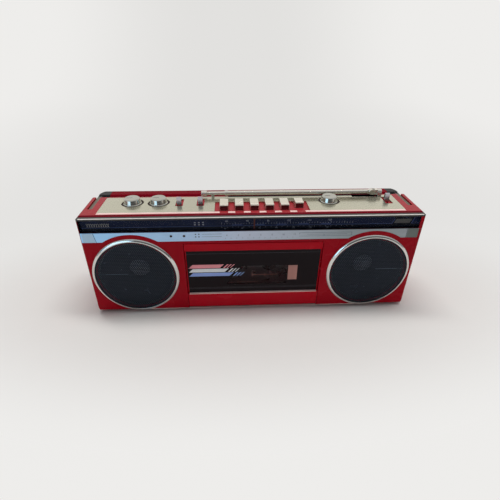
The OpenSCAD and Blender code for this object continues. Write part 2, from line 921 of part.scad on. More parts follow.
module indicator_lamps() {
  color([0.6, 0.1, 0.1]) seat()
    for (i = [0, 1]) {
      rod_y(lamp_r, 0, wall, -lamp_x + i * lamp_pitch, lamp_z);
      rod_y(lamp_flange_r, wall, wall + lamp_flange_t, -lamp_x + i * lamp_pitch, lamp_z);
    }
}

module dial_pointer() {
  pointer_back = pointer_front + pointer_t;
  color([0.9, 0.35, 0.2]) seat() {
    box(-pointer_w / 2, pointer_w / 2, pointer_front, pointer_back, dial_low + pointer_margin,
        dial_high - pointer_margin);
    box(-pointer_w / 2, pointer_w / 2, pointer_back, dial_depth + wall + pointer_tail,
        pointer_z - pointer_slot_h / 2 + free_gap, pointer_z + pointer_slot_h / 2 - free_gap);
  }
}

// Chrome ring that clamps the grille to the front face
module speaker_rings() {
  arc_y = ring_round - ring_proud;
  reach = sqrt(pow(ring_round, 2) - pow(arc_y + ring_foot, 2));
  color(chrome) seat() for (s = [-1, 1]) round_y(s * speaker_x, speaker_z) difference() {
    intersection() {
      rectangle(ring_r - ring_w, ring_r, -ring_proud, 0);
      translate([ring_r - reach, arc_y]) circle(r = ring_round);
    }
    rectangle(0, grille_r + fit, -grille_t, over);
  }
}

module speaker_grilles() {
  color(black) seat() for (s = [-1, 1])
    rod_y(grille_r, -grille_t, 0, s * speaker_x, speaker_z);
}

module speaker_frames() {
  inside = cone_r + free_gap;
  outside = inside + 2 * basket_t;
  sleeve = wall + flange_t + sleeve_l;
  color(dark_grey) seat() for (s = [-1, 1]) round_y(s * speaker_x, speaker_z) polygon([
    [inside, wall], [flange_r, wall], [flange_r, wall + flange_t], [outside, wall + flange_t],
    [outside, sleeve], [magnet_r, basket_back], [coil_r + coil_gap, basket_back],
    [coil_r + coil_gap, basket_back - basket_t], [magnet_r - basket_t, basket_back - basket_t],
    [inside, sleeve]
  ]);
}

module speaker_magnets() {
  magnet_back = basket_back + magnet_l;
  color(dark_grey) seat() for (s = [-1, 1]) difference() {
    rod_y(magnet_r, basket_back, magnet_back, s * speaker_x, speaker_z);
    difference() {
      rod_y(coil_r + coil_gap, 0, magnet_back - pole_plate_t, s * speaker_x, speaker_z);
      rod_y(coil_r - coil_t - coil_gap, 0, case_d, s * speaker_x, speaker_z);
    }
  }
}

// Paper cone with its dust cap and coil former
module cone(s) {
  rim = wall + flange_t - cone_travel;
  neck = basket_back - neck_depth;
  coil_back = basket_back + coil_reach;
  color(black) seat() round_y(s * speaker_x, speaker_z) {
    polygon([
      [coil_r - coil_t, neck], [coil_r, neck], [cone_r - cone_lip, rim], [cone_r, rim],
      [cone_r, rim + cone_t], [cone_r - cone_lip + cone_t, rim + cone_t], [coil_r, neck + 2 * cone_t],
      [coil_r, coil_back], [coil_r - coil_t, coil_back]
    ]);
    intersection() {
      difference() {
        translate([0, neck + dome_rise]) circle(r = dome_r);
        translate([0, neck + dome_rise]) circle(r = dome_r - cone_t);
      }
      rectangle(0, coil_r - coil_t / 2, 0, neck + cone_t);
    }
  }
}

module left_cone() {
  cone(-1);
}

module right_cone() {
  cone(1);
}

// Plate that carries the tape transport, with the motor's posts and the idler's axle
module deck_chassis() {
  color(steel) seat() {
    difference() {
      box(-chassis_half, chassis_half, chassis_y, chassis_y + chassis_t, chassis_low, chassis_top);
      for (x = [-reel_pitch / 2, reel_pitch / 2])
        rod_y(spindle_shaft_r + run, 0, case_d, x, reel_z);
      rod_y(capstan_r + run, 0, case_d, capstan_x, capstan_z);
      for (x = [-chassis_screw_x, chassis_screw_x])
        for (z = [chassis_screw_low, chassis_screw_high])
          rod_y(screw_r + run, 0, case_d, x, z);
    }
    for (a = motor_post_turns)
      rod_y(motor_post_r, chassis_y + chassis_t, motor_y, motor_x + motor_post_circle * cos(a),
            motor_z + motor_post_circle * sin(a));
    rod_y(axle_r, table_front, chassis_y, idler[0], idler[1]);
  }
}

module motor() {
  color(steel) seat() difference() {
    rod_y(motor_r, motor_y, motor_y + motor_l, motor_x, motor_z);
    rod_y(axle_r + run, motor_y - over, motor_y + motor_l / 2, motor_x, motor_z);
  }
}

module motor_pulley() {
  color(brass) seat() {
    rod_y(pulley_r, belt_y - belt_w, belt_y + belt_w, motor_x, motor_z);
    rod_y(axle_r, belt_y, motor_y + motor_l / 2 - shaft_end_gap, motor_x, motor_z);
  }
}

// Points of an arc about a centre, from one angle to another
function arc(centre, r, a0, a1, steps) =
  [for (i = [0 : steps]) centre + r * [cos(a0 + (a1 - a0) * i / steps), sin(a0 + (a1 - a0) * i / steps)]];

// Area inside a belt that lies a gap outside the flywheel and the pulley
module belt_area(gap) {
  far = [motor_x, motor_z];
  span = far - capstan;
  turn = atan2(span[1], span[0]);
  lean = acos((flywheel_r - pulley_r) / norm(span));
  polygon(concat(
    arc(capstan, flywheel_r + gap, turn + lean, turn + 360 - lean, belt_steps),
    arc(far, pulley_r + gap, turn - lean, turn + lean, belt_steps / 2)
  ));
}

module drive_belt() {
  color(black) seat() along_y(belt_y - belt_w / 2, belt_y + belt_w / 2) difference() {
    belt_area(drive_gap + belt_t);
    belt_area(drive_gap);
  }
}

// Flywheel with the capstan shaft and the small hub that drives the idler
module flywheel() {
  color(brass) seat() {
    rod_y(flywheel_r, flywheel_y, flywheel_y + flywheel_t, capstan_x, capstan_z);
    rod_y(flywheel_hub_r, chassis_y + chassis_t + free_gap, flywheel_y, capstan_x, capstan_z);
    rod_y(capstan_hub_r, table_front, table_back, capstan_x, capstan_z);
    rod_y(capstan_r, spindle_front, flywheel_y, capstan_x, capstan_z);
  }
}

module idler_wheel() {
  color(black) seat() difference() {
    rod_y(idler_r, table_front, table_back, idler[0], idler[1]);
    rod_y(axle_r + run, 0, chassis_y, idler[0], idler[1]);
  }
}

// Reel spindle with three drive fins on its table
module spindle(x) {
  color(black) seat() {
    rod_y(reel_r, table_front, table_back, x, reel_z);
    rod_y(spindle_r - fin_reach, spindle_front, table_front, x, reel_z);
    rod_y(spindle_shaft_r, table_back, chassis_y + chassis_t + spindle_tail, x, reel_z);
    for (i = [1 : fins])
      translate([x, 0, reel_z]) rotate([0, i * 360 / fins, 0])
        box(0, spindle_r, spindle_front + fin_back, table_front, -fin_t / 2, fin_t / 2);
  }
}

module supply_spindle() {
  spindle(-reel_pitch / 2);
}

module takeup_spindle() {
  spindle(reel_pitch / 2);
}

// Sliding plate that the play key pushes down, with the pinch roller's axle
module head_plate() {
  push_x = key_x(1);
  color(steel) seat() {
    box(head_plate_left, head_plate_right, head_plate_front, head_plate_back,
        head_plate_low, head_plate_high);
    box(push_x - push_tab_half, push_x + push_tab_half, head_plate_front, head_plate_back,
        head_plate_high - over, plunger_top);
    box(push_x - push_tab_half, push_x + push_tab_half, head_plate_front, stem_y + stem_l / 2,
        plunger_top - push_tab_t, plunger_top);
    rod_y(axle_r, spindle_front, head_plate_front + over / 2, capstan_x, roller_z);
  }
}

module tape_heads() {
  color(silver) seat() {
    box(-play_head_w / 2, play_head_w / 2, head_front, head_plate_front, head_low, head_low + head_h);
    box(erase_head_x - erase_head_w / 2, erase_head_x + erase_head_w / 2, head_front,
        head_plate_front, head_low, head_low + head_h);
  }
}

module pinch_roller() {
  color(black) seat() difference() {
    rod_y(roller_r, spindle_front + roller_end_gap, head_plate_front - roller_back_gap, capstan_x,
          roller_z);
    rod_y(axle_r + run, 0, chassis_y, capstan_x, roller_z);
  }
}

module door_frame() {
  color(red) seat() {
    difference() {
      union() {
        along_x(-door_half, door_half) {
          rectangle(0, door_bottom_back, hinge_z, window_low);
          translate([hinge_y, hinge_z]) circle(r = door_foot_r);
        }
        box(-door_half, door_half, window_recess + window_t, door_t, window_low - over,
            window_high + over);
        box(-door_half, door_half, 0, door_t, window_high, door_top);
        on_sides() box(door_half - door_edge, door_half, window_recess, door_t, window_low - over,
                       window_high + over);
      }
      box(-door_half + door_edge + window_ledge, door_half - door_edge - window_ledge, -over,
          door_t + over, window_low + window_ledge, window_high - window_ledge);
    }
    on_sides() rod_x(door_pin_r, door_half - over, well_half + wall, hinge_y, hinge_z);
  }
}

module door_window() {
  color([0.12, 0.05, 0.07, 0.7]) seat()
    box(-door_half + door_edge + fit, door_half - door_edge - fit, window_recess,
        window_recess + window_t, window_low + fit, window_high - fit);
}

// Tray that holds the cassette behind the door
module cassette_holder() {
  inside = holder_w / 2;
  outside = inside + holder_t;
  color(black) seat() {
    box(-outside, outside, door_bottom_back, holder_back, window_low - holder_t, window_low);
    on_sides() {
      box(inside, outside, door_t, holder_back, window_low, window_high - holder_drop);
      box(inside - holder_lip, outside, holder_back - holder_t, holder_back,
          window_low + holder_lip_inset, window_high - holder_lip_inset);
    }
  }
}

module circuit_boards() {
  color([0.25, 0.35, 0.15]) seat() for (b = [left_board, right_board])
    box(b[0], b[1], board_front, board_back, board_top - board_t, board_top);
}

// Round body under the deck with a bushing that comes up through it, bored for a shaft
module shaft_bearing(x, body_foot, bore_foot) {
  difference() {
    union() {
      rod_z(pot_r, body_foot, ceiling, x, knob_y);
      rod_z(bushing_r, ceiling - over, panel_floor + bushing_rise, x, knob_y);
    }
    rod_z(shaft_r + run, bore_foot, case_h, x, knob_y);
  }
}

module potentiometers() {
  color(steel) seat() for (x = [volume_x, tone_x])
    shaft_bearing(x, board_top, shaft_foot - shaft_end_gap);
}

// Tuning gang, and the bearing of the tuning shaft
module tuning_capacitor() {
  color(steel) seat() {
    translate([tuning_gang_x, tuning_gang_back - tuning_gang[1], board_top]) cube(tuning_gang);
    shaft_bearing(tuning_x, shaft_foot, board_top);
  }
}

module slide_switches() {
  color(black) seat() for (x = lever_places) difference() {
    box(x - switch_w / 2, x + switch_w / 2, groove_front - switch_end, groove_back + switch_end,
        board_top, ceiling);
    box(x - lever_stem_w / 2 - free_gap, x + lever_stem_w / 2 + free_gap, groove_front, groove_back,
        ceiling - groove_depth, ceiling + over);
  }
}

module ferrite_rod() {
  color(dark_grey) seat()
    rod_x(ferrite_r, ferrite_x, ferrite_x + ferrite_l, board_front + post_inset, board_top + ferrite_r);
}

// Laminated core against the rear wall, with its winding
module transformer() {
  core_front = case_d - wall - core[1];
  color(steel) seat() {
    translate([core_x, core_front, core_z]) cube(core);
    box(core_x + winding_inset, core_x + core[0] - winding_inset, core_front - winding_out,
        core_front + over, core_z + winding_inset_z, core_z + core[2] - winding_inset_z);
  }
}

module battery_contacts() {
  color(chrome) seat() on_sides()
    box(bay_w / 2 - contact_t, bay_w / 2, bay_y + contact_inset, bay_y + bay_d - contact_inset,
        bay_z + contact_inset, bay_z + bay_h - contact_inset);
}

// Two-pin mains socket
module mains_inlet() {
  color(black) seat() difference() {
    union() {
      box(inlet_x - inlet_half, inlet_x + inlet_half, case_d - inlet_l, case_d,
          inlet_z - inlet_half_h, inlet_z + inlet_half_h);
      box(inlet_x - inlet_half - inlet_flange, inlet_x + inlet_half + inlet_flange,
          case_d - wall - inlet_flange_t, case_d - wall,
          inlet_z - inlet_half_h - inlet_flange, inlet_z + inlet_half_h + inlet_flange);
    }
    difference() {
      along_y(case_d - inlet_l + inlet_floor, case_d + over) {
        rectangle(inlet_x - inlet_pin_x, inlet_x + inlet_pin_x, inlet_z - inlet_slot_r,
                  inlet_z + inlet_slot_r);
        for (s = [-1, 1]) translate([inlet_x + s * inlet_pin_x, inlet_z]) circle(r = inlet_slot_r);
      }
      for (s = [-1, 1])
        rod_y(inlet_pin_r, case_d - inlet_l, case_d - inlet_pin_drop, inlet_x + s * inlet_pin_x,
              inlet_z);
    }
  }
}

module headphone_jack() {
  color(black) seat() difference() {
    union() {
      rod_y(jack_r, case_d - wall - over, case_d, jack_x, inlet_z);
      box(jack_x - jack_r - jack_wall, jack_x + jack_r + jack_wall, case_d - jack_bore_l - jack_wall,
          case_d - wall, inlet_z - jack_r - jack_wall, inlet_z + jack_r + jack_wall);
    }
    rod_y(jack_bore_r, case_d - jack_bore_l, case_d + over, jack_x, inlet_z);
  }
}

module case_screws() {
  color(steel) seat() {
    screw_places() {
      rod_y(screw_r, deck_d - boss_l + wall + screw_end_gap, case_d - counterbore + over, 0, 0);
      rod_y(screw_head_r, case_d - counterbore, case_d - counterbore + screw_head_t, 0, 0);
    }
    for (x = [-chassis_screw_x, chassis_screw_x]) for (z = [chassis_screw_low, chassis_screw_high]) {
      rod_y(screw_r, chassis_y - chassis_screw_l + screw_end_gap, chassis_y + chassis_t + over, x, z);
      rod_y(screw_head_r, chassis_y + chassis_t, chassis_y + chassis_t + screw_head_t, x, z);
    }
  }
}

module feet() {
  color(black) seat() for (x = [-half_w + foot_inset_x, half_w - foot_inset_x])
    for (y = [foot_inset_y, case_d - foot_inset_y]) rod_z(foot_r, -foot_h, 0, x, y);
}

// Bearing of the antenna's foot, and the clip that its tip lies in
module antenna_bracket() {
  color(dark_grey) seat() {
    difference() {
      along_x(bracket_left, bracket_right) {
        translate([antenna_y, antenna_z]) circle(r = bracket_r);
        rectangle(antenna_y - bracket_half, antenna_y + bracket_half, trough_floor, antenna_z);
      }
      rod_x(stub_r + run, bracket_left - over, bracket_right + over, antenna_y, antenna_z);
    }
    along_x(clip_x - clip_half, clip_x + clip_half) difference() {
      rectangle(antenna_y - bracket_half, antenna_y + bracket_half, case_h, antenna_z - clip_drop);
      translate([antenna_y, antenna_z]) circle(r = middle_tube_r + free_gap);
    }
  }
}

// Fork that turns in the bracket and holds the antenna between its ears
module antenna_swivel() {
  yoke = tilt_x + fork_r + yoke_gap;
  color(chrome) seat() {
    rod_x(stub_r, yoke, bracket_right, antenna_y, antenna_z);
    box(yoke, bracket_left - free_gap, antenna_y - fork_r, antenna_y + fork_r, antenna_z - fork_r,
        antenna_z + fork_r);
    for (s = [-1, 1]) {
      ear = antenna_y + s * (tongue_half + tongue_gap);
      rim = antenna_y + s * fork_r;
      along_y(min(ear, rim), max(ear, rim)) {
        translate([tilt_x, antenna_z]) circle(r = fork_r);
        rectangle(tilt_x, yoke + over, antenna_z - fork_r, antenna_z + fork_r);
      }
    }
    rod_y(tilt_pin_r, antenna_y - fork_r, antenna_y + fork_r, tilt_x, antenna_z);
  }
}

module antenna_outer_tube() {
  shoulder = tilt_x - fork_r - shoulder_gap;
  color(chrome) seat() {
    difference() {
      union() {
        rod_x(outer_tube_r, mouth_x, shoulder, antenna_y, antenna_z);
        rod_x(outer_tube_r + collar_t, mouth_x, mouth_x + collar_l, antenna_y, antenna_z);
      }
      rod_x(middle_tube_r + run, mouth_x - over, middle_inner_x + section_space, antenna_y, antenna_z);
    }
    difference() {
      along_y(antenna_y - tongue_half, antenna_y + tongue_half) {
        translate([tilt_x, antenna_z]) circle(r = fork_r);
        rectangle(shoulder - over, tilt_x, antenna_z - tongue_h / 2, antenna_z + tongue_h / 2);
      }
      rod_y(tilt_pin_r + run, antenna_y - fork_r, antenna_y + fork_r, tilt_x, antenna_z);
    }
  }
}

module antenna_middle_tube() {
  color(chrome) seat() difference() {
    rod_x(middle_tube_r, middle_end_x, middle_inner_x, antenna_y, antenna_z);
    rod_x(tip_rod_r + run, middle_end_x - over, middle_inner_x - section_space, antenna_y, antenna_z);
  }
}

module antenna_tip_rod() {
  color(chrome) seat() {
    rod_x(tip_rod_r, middle_end_x - section_gap - over, middle_inner_x - 2 * section_space,
          antenna_y, antenna_z);
    rod_x(tip_cap_r, middle_end_x - section_gap - tip_cap_l, middle_end_x - section_gap, antenna_y,
          antenna_z);
  }
}

module grip_section() {
  round_rectangle(grip_y - grip_d / 2, grip_y + grip_d / 2, grip_z - grip_h / 2,
                  grip_z + grip_h / 2, grip_r, grip_r);
}

module handle_grip() {
  color(red) seat() along_x(-grip_half, grip_half) grip_section();
}

// Elbows and flat arms, with the stubs that turn in the cabinet's sides
module handle_arms() {
  outer = arm_x + arm_t / 2;
  grip_back = grip_y + grip_d / 2;
  color(dark_grey) seat() on_sides() {
    intersection() {
      along_x(grip_half, outer) grip_section();
      along_z(0, case_h + over)
        round_rectangle(-outer, outer, pivot_y, grip_back, grip_r, elbow_r);
    }
    along_x(arm_x - arm_t / 2, outer) {
      translate([pivot_y, pivot_z]) circle(r = arm_h / 2);
      rectangle(pivot_y, grip_back - elbow_r, pivot_z - arm_h / 2, pivot_z + arm_h / 2);
    }
    rod_x(pivot_r, arm_x - slot_half - channel_wall, arm_x + slot_half + channel_wall - free_gap,
          pivot_y, pivot_z);
  }
}

// Chrome knob with a pointer groove, on its shaft
module knob(x, foot) {
  top = case_h + knob_h;
  color(chrome) seat() {
    difference() {
      translate([x, knob_y, 0]) rotate_extrude() polygon([
        [0, knob_foot], [knob_skirt_r, knob_foot], [knob_skirt_r, knob_foot + skirt_h],
        [knob_r, knob_foot + skirt_h + skirt_slope], [knob_r - knob_draft, top - knob_edge],
        [knob_r - knob_draft - knob_edge, top], [0, top]
      ]);
      box(x + mark_past_axis - mark_l, x + mark_past_axis, knob_y - mark_w / 2, knob_y + mark_w / 2,
          top - mark_d, top + over);
    }
    rod_z(shaft_r, foot, knob_foot + over, x, knob_y);
  }
}

module volume_knob() {
  knob(volume_x, shaft_foot);
}

module tone_knob() {
  knob(tone_x, shaft_foot);
}

// The tuning shaft also carries the pulley of the dial cord
module tuning_knob() {
  foot = board_top + tuning_pulley_lift;
  knob(tuning_x, foot);
  color(brass) seat() rod_z(tuning_pulley_r, foot, shaft_foot - free_gap, tuning_x, knob_y);
}

// Lever cap with a sloped rear face, on a stem that runs in its switch
module lever(x, set) {
  top = case_h + lever_h;
  foot = panel_floor + free_gap;
  y = lever_y - set * lever_travel;
  front = y - lever_l / 2;
  color(chrome) seat() {
    along_x(x - lever_w / 2, x + lever_w / 2) polygon([
      [front, foot], [front + lever_l, foot], [front + lever_l - lever_back_slope, top],
      [front + lever_front_slope, top]
    ]);
    box(x - lever_stem_w / 2, x + lever_stem_w / 2, y - lever_stem_l / 2,
        y + lever_stem_l / 2, ceiling - groove_depth + free_gap, foot + over);
  }
}

module function_lever() {
  lever(function_x, function_set);
}

module band_lever() {
  lever(band_x, band_set);
}

module mode_lever() {
  lever(mode_x, mode_set);
}

// Key cap with a raised front edge, on its stem
module key(i) {
  lip_top = case_h + key_rise;
  top = lip_top - key_lip_h;
  front = key_front(i);
  back = key_y + key_l;
  color(champagne) seat() {
    along_x(key_x(i) - key_w / 2, key_x(i) + key_w / 2) polygon([
      [front, key_foot], [front, lip_top - key_edge], [front + key_edge, lip_top],
      [front + key_lip, lip_top], [front + key_lip + key_edge, top], [back - key_edge, top],
      [back, top - key_edge], [back, key_foot]
    ]);
    box(key_x(i) - stem_w / 2, key_x(i) + stem_w / 2, stem_y - stem_l / 2, stem_y + stem_l / 2,
        stem_foot, key_foot + over);
  }
}

module record_key() {
  key(0);
}

module play_key() {
  key(1);
}

module rewind_key() {
  key(2);
}

module forward_key() {
  key(3);
}

module stop_key() {
  key(4);
}

module pause_key() {
  key(5);
}

front_case();
rear_case();
top_panel();
trim_bar();
dial_lens();
dial_plate();
scale_strip();
indicator_lamps();
speaker_rings();
speaker_grilles();
speaker_frames();
speaker_magnets();
left_cone();
right_cone();
deck_chassis();
motor();
drive_belt();
circuit_boards();
potentiometers();
slide_switches();
tuning_capacitor();
ferrite_rod();
transformer();
battery_contacts();
mains_inlet();
headphone_jack();
case_screws();
feet();
antenna_bracket();
battery_door();
flywheel();
motor_pulley();
idler_wheel();
supply_spindle();
takeup_spindle();
head_plate();
tape_heads();
pinch_roller();
door_frame();
door_window();
cassette_holder();
handle_grip();
handle_arms();
antenna_swivel();
antenna_outer_tube();
antenna_middle_tube();
antenna_tip_rod();
volume_knob();
tone_knob();
tuning_knob();
dial_pointer();
function_lever();
band_lever();
mode_lever();
record_key();
play_key();
rewind_key();
forward_key();
stop_key();
pause_key();
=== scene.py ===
"""Looks of a compact red stereo radio cassette recorder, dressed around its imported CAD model."""
import math

import bpy
from mathutils import Euler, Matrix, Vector


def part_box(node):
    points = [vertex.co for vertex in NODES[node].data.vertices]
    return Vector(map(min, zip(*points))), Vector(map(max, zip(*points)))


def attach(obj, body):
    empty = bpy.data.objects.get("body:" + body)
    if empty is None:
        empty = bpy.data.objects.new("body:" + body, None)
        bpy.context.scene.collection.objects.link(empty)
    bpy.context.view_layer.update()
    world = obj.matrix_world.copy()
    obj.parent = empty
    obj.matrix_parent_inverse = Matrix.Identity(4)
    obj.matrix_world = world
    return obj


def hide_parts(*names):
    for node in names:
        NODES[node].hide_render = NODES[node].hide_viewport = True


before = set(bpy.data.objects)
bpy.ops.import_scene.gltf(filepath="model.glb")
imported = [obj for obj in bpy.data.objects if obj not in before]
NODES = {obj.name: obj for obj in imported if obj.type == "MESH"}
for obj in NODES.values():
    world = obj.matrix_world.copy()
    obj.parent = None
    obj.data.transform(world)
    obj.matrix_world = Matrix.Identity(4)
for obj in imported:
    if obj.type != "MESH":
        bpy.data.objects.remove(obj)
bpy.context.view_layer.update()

MM = 0.001
CASE_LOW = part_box("front_case")[0]
FRONT = CASE_LOW.y
BASE = CASE_LOW.z

# Camera of the photograph
CAMERA_PLACE = (-0.02696, -0.41224, 0.31143)
CAMERA_TURN = (58.4549, -0.4891, -2.9218)
CAMERA_LENS = 25.98
CAMERA_SENSOR = 36.0
CAMERA_SHIFT = (0.0021, 0.0083)


def place(x, y, z):
    """A point measured in mm from the middle of the front face's lower edge."""
    return Vector((x * MM, FRONT + y * MM, BASE + z * MM))


def rgb(red, green, blue):
    """Screen colour from 0 to 255 as a linear colour."""
    out = []
    for value in (red, green, blue):
        v = value / 255
        out.append(v / 12.92 if v <= 0.04045 else ((v + 0.055) / 1.055) ** 2.4)
    return (*out, 1.0)


def scaled(colour, factor):
    return tuple(min(1.0, c * factor) for c in colour[:3]) + (1.0,)


# Materials
NOISE_SPAN = (0.3, 0.7)
NOISE_ROUGHNESS = 0.55
WHOLE_SPAN = (0.0, 1.0)
BEVEL_SAMPLES = 6
BROAD_SHARE = 25
BROAD_DETAIL = 3.0
SLOPED_SPAN = (0.75, 0.85)
LEVEL_SPAN = (0.93, 0.99)
FOIL_GRAIN = 2600.0
FOIL_STRETCH = (0.03, 1, 1)
FOIL_SHADES = ((0.92, 0.92, 0.92, 1.0), (1.0, 1.0, 1.0, 1.0))
ELBOW_GRAIN = 80.0
ELBOW_SHADE = 0.9
ELBOW_BLEND = 0.001
TURNED_RINGS = 1 / 0.012
TURNED_WAVER = 0.6
TURNED_DEPTH = 0.000003
TURNED_STRENGTH = 0.6
TURNED_EDGE = 0.0004
SMUDGE_GRAIN = 90.0
SMUDGE_SHADE = 0.94
PAPER_RINGS = 14.0
PAPER_RING_DEPTH = 0.0002
PAPER_RING_STRENGTH = 0.3
PAPER_SHADES = (0.7, 1.4)
PAPER_GLOSS = (0.6, 0.85)
FIBRE_GRAIN = 500.0
CAP_R = 0.0125
CAP_EDGE = 0.0004
CAP_SHADES = (0.8, 1.2)
CAP_GLOSS = (0.1, 0.2)


def new_material(name):
    material = bpy.data.materials.new(name)
    material.use_nodes = True
    tree = material.node_tree
    tree.nodes.clear()
    output = tree.nodes.new("ShaderNodeOutputMaterial")
    shader = tree.nodes.new("ShaderNodeBsdfPrincipled")
    tree.links.new(shader.outputs["BSDF"], output.inputs["Surface"])
    return material, tree, shader


def coordinates(tree, stretch=(1, 1, 1), centre=(0, 0, 0)):
    source = tree.nodes.new("ShaderNodeTexCoord")
    mapping = tree.nodes.new("ShaderNodeMapping")
    mapping.inputs["Location"].default_value = [-c * s for c, s in zip(centre, stretch)]
    mapping.inputs["Scale"].default_value = stretch
    tree.links.new(source.outputs["Object"], mapping.inputs["Vector"])
    return mapping.outputs["Vector"]


def axis_value(tree, vector, axis):
    split = tree.nodes.new("ShaderNodeSeparateXYZ")
    tree.links.new(vector, split.inputs["Vector"])
    return split.outputs[axis]


def distance(tree, vector):
    """How far a point is from the origin of its coordinates."""
    node = tree.nodes.new("ShaderNodeVectorMath")
    node.operation = "LENGTH"
    tree.links.new(vector, node.inputs[0])
    return node.outputs["Value"]


def calculated(tree, operation, first, second=None):
    node = tree.nodes.new("ShaderNodeMath")
    node.operation = operation
    tree.links.new(first, node.inputs[0])
    if second is not None:
        tree.links.new(second, node.inputs[1])
    return node.outputs["Value"]


def map_range(tree, value, span, levels=WHOLE_SPAN, smooth=False):
    """Maps a value within a span onto a range of levels."""
    node = tree.nodes.new("ShaderNodeMapRange")
    if smooth:
        node.interpolation_type = "SMOOTHSTEP"
    node.inputs["From Min"].default_value, node.inputs["From Max"].default_value = span
    node.inputs["To Min"].default_value, node.inputs["To Max"].default_value = levels
    tree.links.new(value, node.inputs["Value"])
    return node.outputs["Result"]


def noise(tree, vector, scale, detail=4.0):
    node = tree.nodes.new("ShaderNodeTexNoise")
    node.inputs["Scale"].default_value = scale
    node.inputs["Detail"].default_value = detail
    node.inputs["Roughness"].default_value = NOISE_ROUGHNESS
    tree.links.new(vector, node.inputs["Vector"])
    return node.outputs["Fac"]


def spread(tree, value, low, high):
    """Maps a noise value onto a range."""
    return map_range(tree, value, NOISE_SPAN, (low, high))


def two_tone(tree, value, dark, light, span=NOISE_SPAN):
    ramp = tree.nodes.new("ShaderNodeValToRGB")
    for element, position, colour in zip(ramp.color_ramp.elements, span, (dark, light)):
        element.position = position
        element.color = colour
    tree.links.new(value, ramp.inputs["Fac"])
    return ramp.outputs["Color"]


def mixed(tree, factor, first, second):
    node = tree.nodes.new("ShaderNodeMix")
    node.data_type = "RGBA"
    tree.links.new(factor, node.inputs["Factor"])
    tree.links.new(first, node.inputs["A"])
    tree.links.new(second, node.inputs["B"])
    return node.outputs["Result"]


def bump(tree, height, depth, strength=1.0, normal=None):
    node = tree.nodes.new("ShaderNodeBump")
    node.inputs["Strength"].default_value = strength
    node.inputs["Distance"].default_value = depth
    tree.links.new(height, node.inputs["Height"])
    if normal is not None:
        tree.links.new(normal, node.inputs["Normal"])
    return node.outputs["Normal"]


def round_edges(tree, radius):
    node = tree.nodes.new("ShaderNodeBevel")
    node.samples = BEVEL_SAMPLES
    node.inputs["Radius"].default_value = radius
    return node.outputs["Normal"]


def rings(tree, vector, axis, scale, distortion=0.0):
    """Bands round an axis through the origin of the coordinates."""
    wave = tree.nodes.new("ShaderNodeTexWave")
    wave.wave_type = "RINGS"
    wave.rings_direction = axis
    wave.inputs["Scale"].default_value = scale
    wave.inputs["Distortion"].default_value = distortion
    tree.links.new(vector, wave.inputs["Vector"])
    return wave.outputs["Fac"]


def set_uniform(shader, metal, specular, alpha=1.0):
    shader.inputs["Metallic"].default_value = metal
    shader.inputs["Specular IOR Level"].default_value = specular
    shader.inputs["Alpha"].default_value = alpha


def facing_up(tree, span):
    """0 where a face looks up less than the span's low end, 1 above its high end."""
    source = tree.nodes.new("ShaderNodeNewGeometry")
    upward = axis_value(tree, source.outputs["True Normal"], "Z")
    return map_range(tree, upward, span, smooth=True)


def along_width(tree, stops):
    """A colour that changes along the width; stops are pairs of x in mm and a colour."""
    low, high = stops[0][0], stops[-1][0]
    share = map_range(tree, axis_value(tree, coordinates(tree), "X"), (low * MM, high * MM))
    ramp = tree.nodes.new("ShaderNodeValToRGB")
    for _ in range(len(stops) - 2):
        ramp.color_ramp.elements.new(0.5)
    for element, (x, colour) in zip(ramp.color_ramp.elements, stops):
        element.position = (x - low) / (high - low)
        element.color = colour
    tree.links.new(share, ramp.inputs["Fac"])
    return ramp.outputs["Color"]


def finish(name, colour, rough, metal=0.0, specular=0.5, alpha=1.0, tone=0.08, grain=700.0,
           rough_spread=0.05, depth=0.00001, stretch=(1, 1, 1), edge=0.0, top_sheen=None, slope_shade=None):
    """A finish whose colour, gloss and surface vary with two scales of grain.

    Faces that look up take a painted sheen colour, standing for light falling on them, and slopes
    take a painted shade colour.
    """
    material, tree, shader = new_material(name)
    set_uniform(shader, metal, specular, alpha)
    fine = noise(tree, coordinates(tree, stretch), grain)
    broad = noise(tree, coordinates(tree), grain / BROAD_SHARE, BROAD_DETAIL)
    shade = two_tone(tree, broad, scaled(colour, 1 - tone), scaled(colour, 1 + tone))
    # Painted light: faces that look up get a lighter, pinkish sheen and slopes a darker shade.
    for painted_tint, span in ((slope_shade, SLOPED_SPAN), (top_sheen, LEVEL_SPAN)):
        if painted_tint:
            turned = two_tone(tree, broad, scaled(painted_tint, 1 - tone), scaled(painted_tint, 1 + tone))
            shade = mixed(tree, facing_up(tree, span), shade, turned)
    tree.links.new(shade, shader.inputs["Base Color"])
    tree.links.new(spread(tree, broad, rough - rough_spread, rough + rough_spread),
                   shader.inputs["Roughness"])
    soft = round_edges(tree, edge) if edge else None
    tree.links.new(bump(tree, fine, depth, 1.0, soft), shader.inputs["Normal"])
    return material


def foil_with_painted_reflection(name, stops):
    """Brushed foil whose colour changes along the width: a painted reflection, bluish at the left
    where a window's light is reflected and greyer to the right.
    """
    material = finish(name, stops[0][1], 0.36, metal=0.85, tone=0.05, grain=FOIL_GRAIN,
                      depth=0.00004, stretch=FOIL_STRETCH, edge=0.0003)
    tree = material.node_tree
    shader = tree.nodes["Principled BSDF"]
    painted_tint = along_width(tree, stops)
    grain = two_tone(tree, noise(tree, coordinates(tree, FOIL_STRETCH), FOIL_GRAIN), *FOIL_SHADES)
    mix = tree.nodes.new("ShaderNodeMix")
    mix.data_type = "RGBA"
    mix.blend_type = "MULTIPLY"
    mix.inputs["Factor"].default_value = 1.0
    tree.links.new(painted_tint, mix.inputs["A"])
    tree.links.new(grain, mix.inputs["B"])
    tree.links.new(mix.outputs["Result"], shader.inputs["Base Color"])
    return material


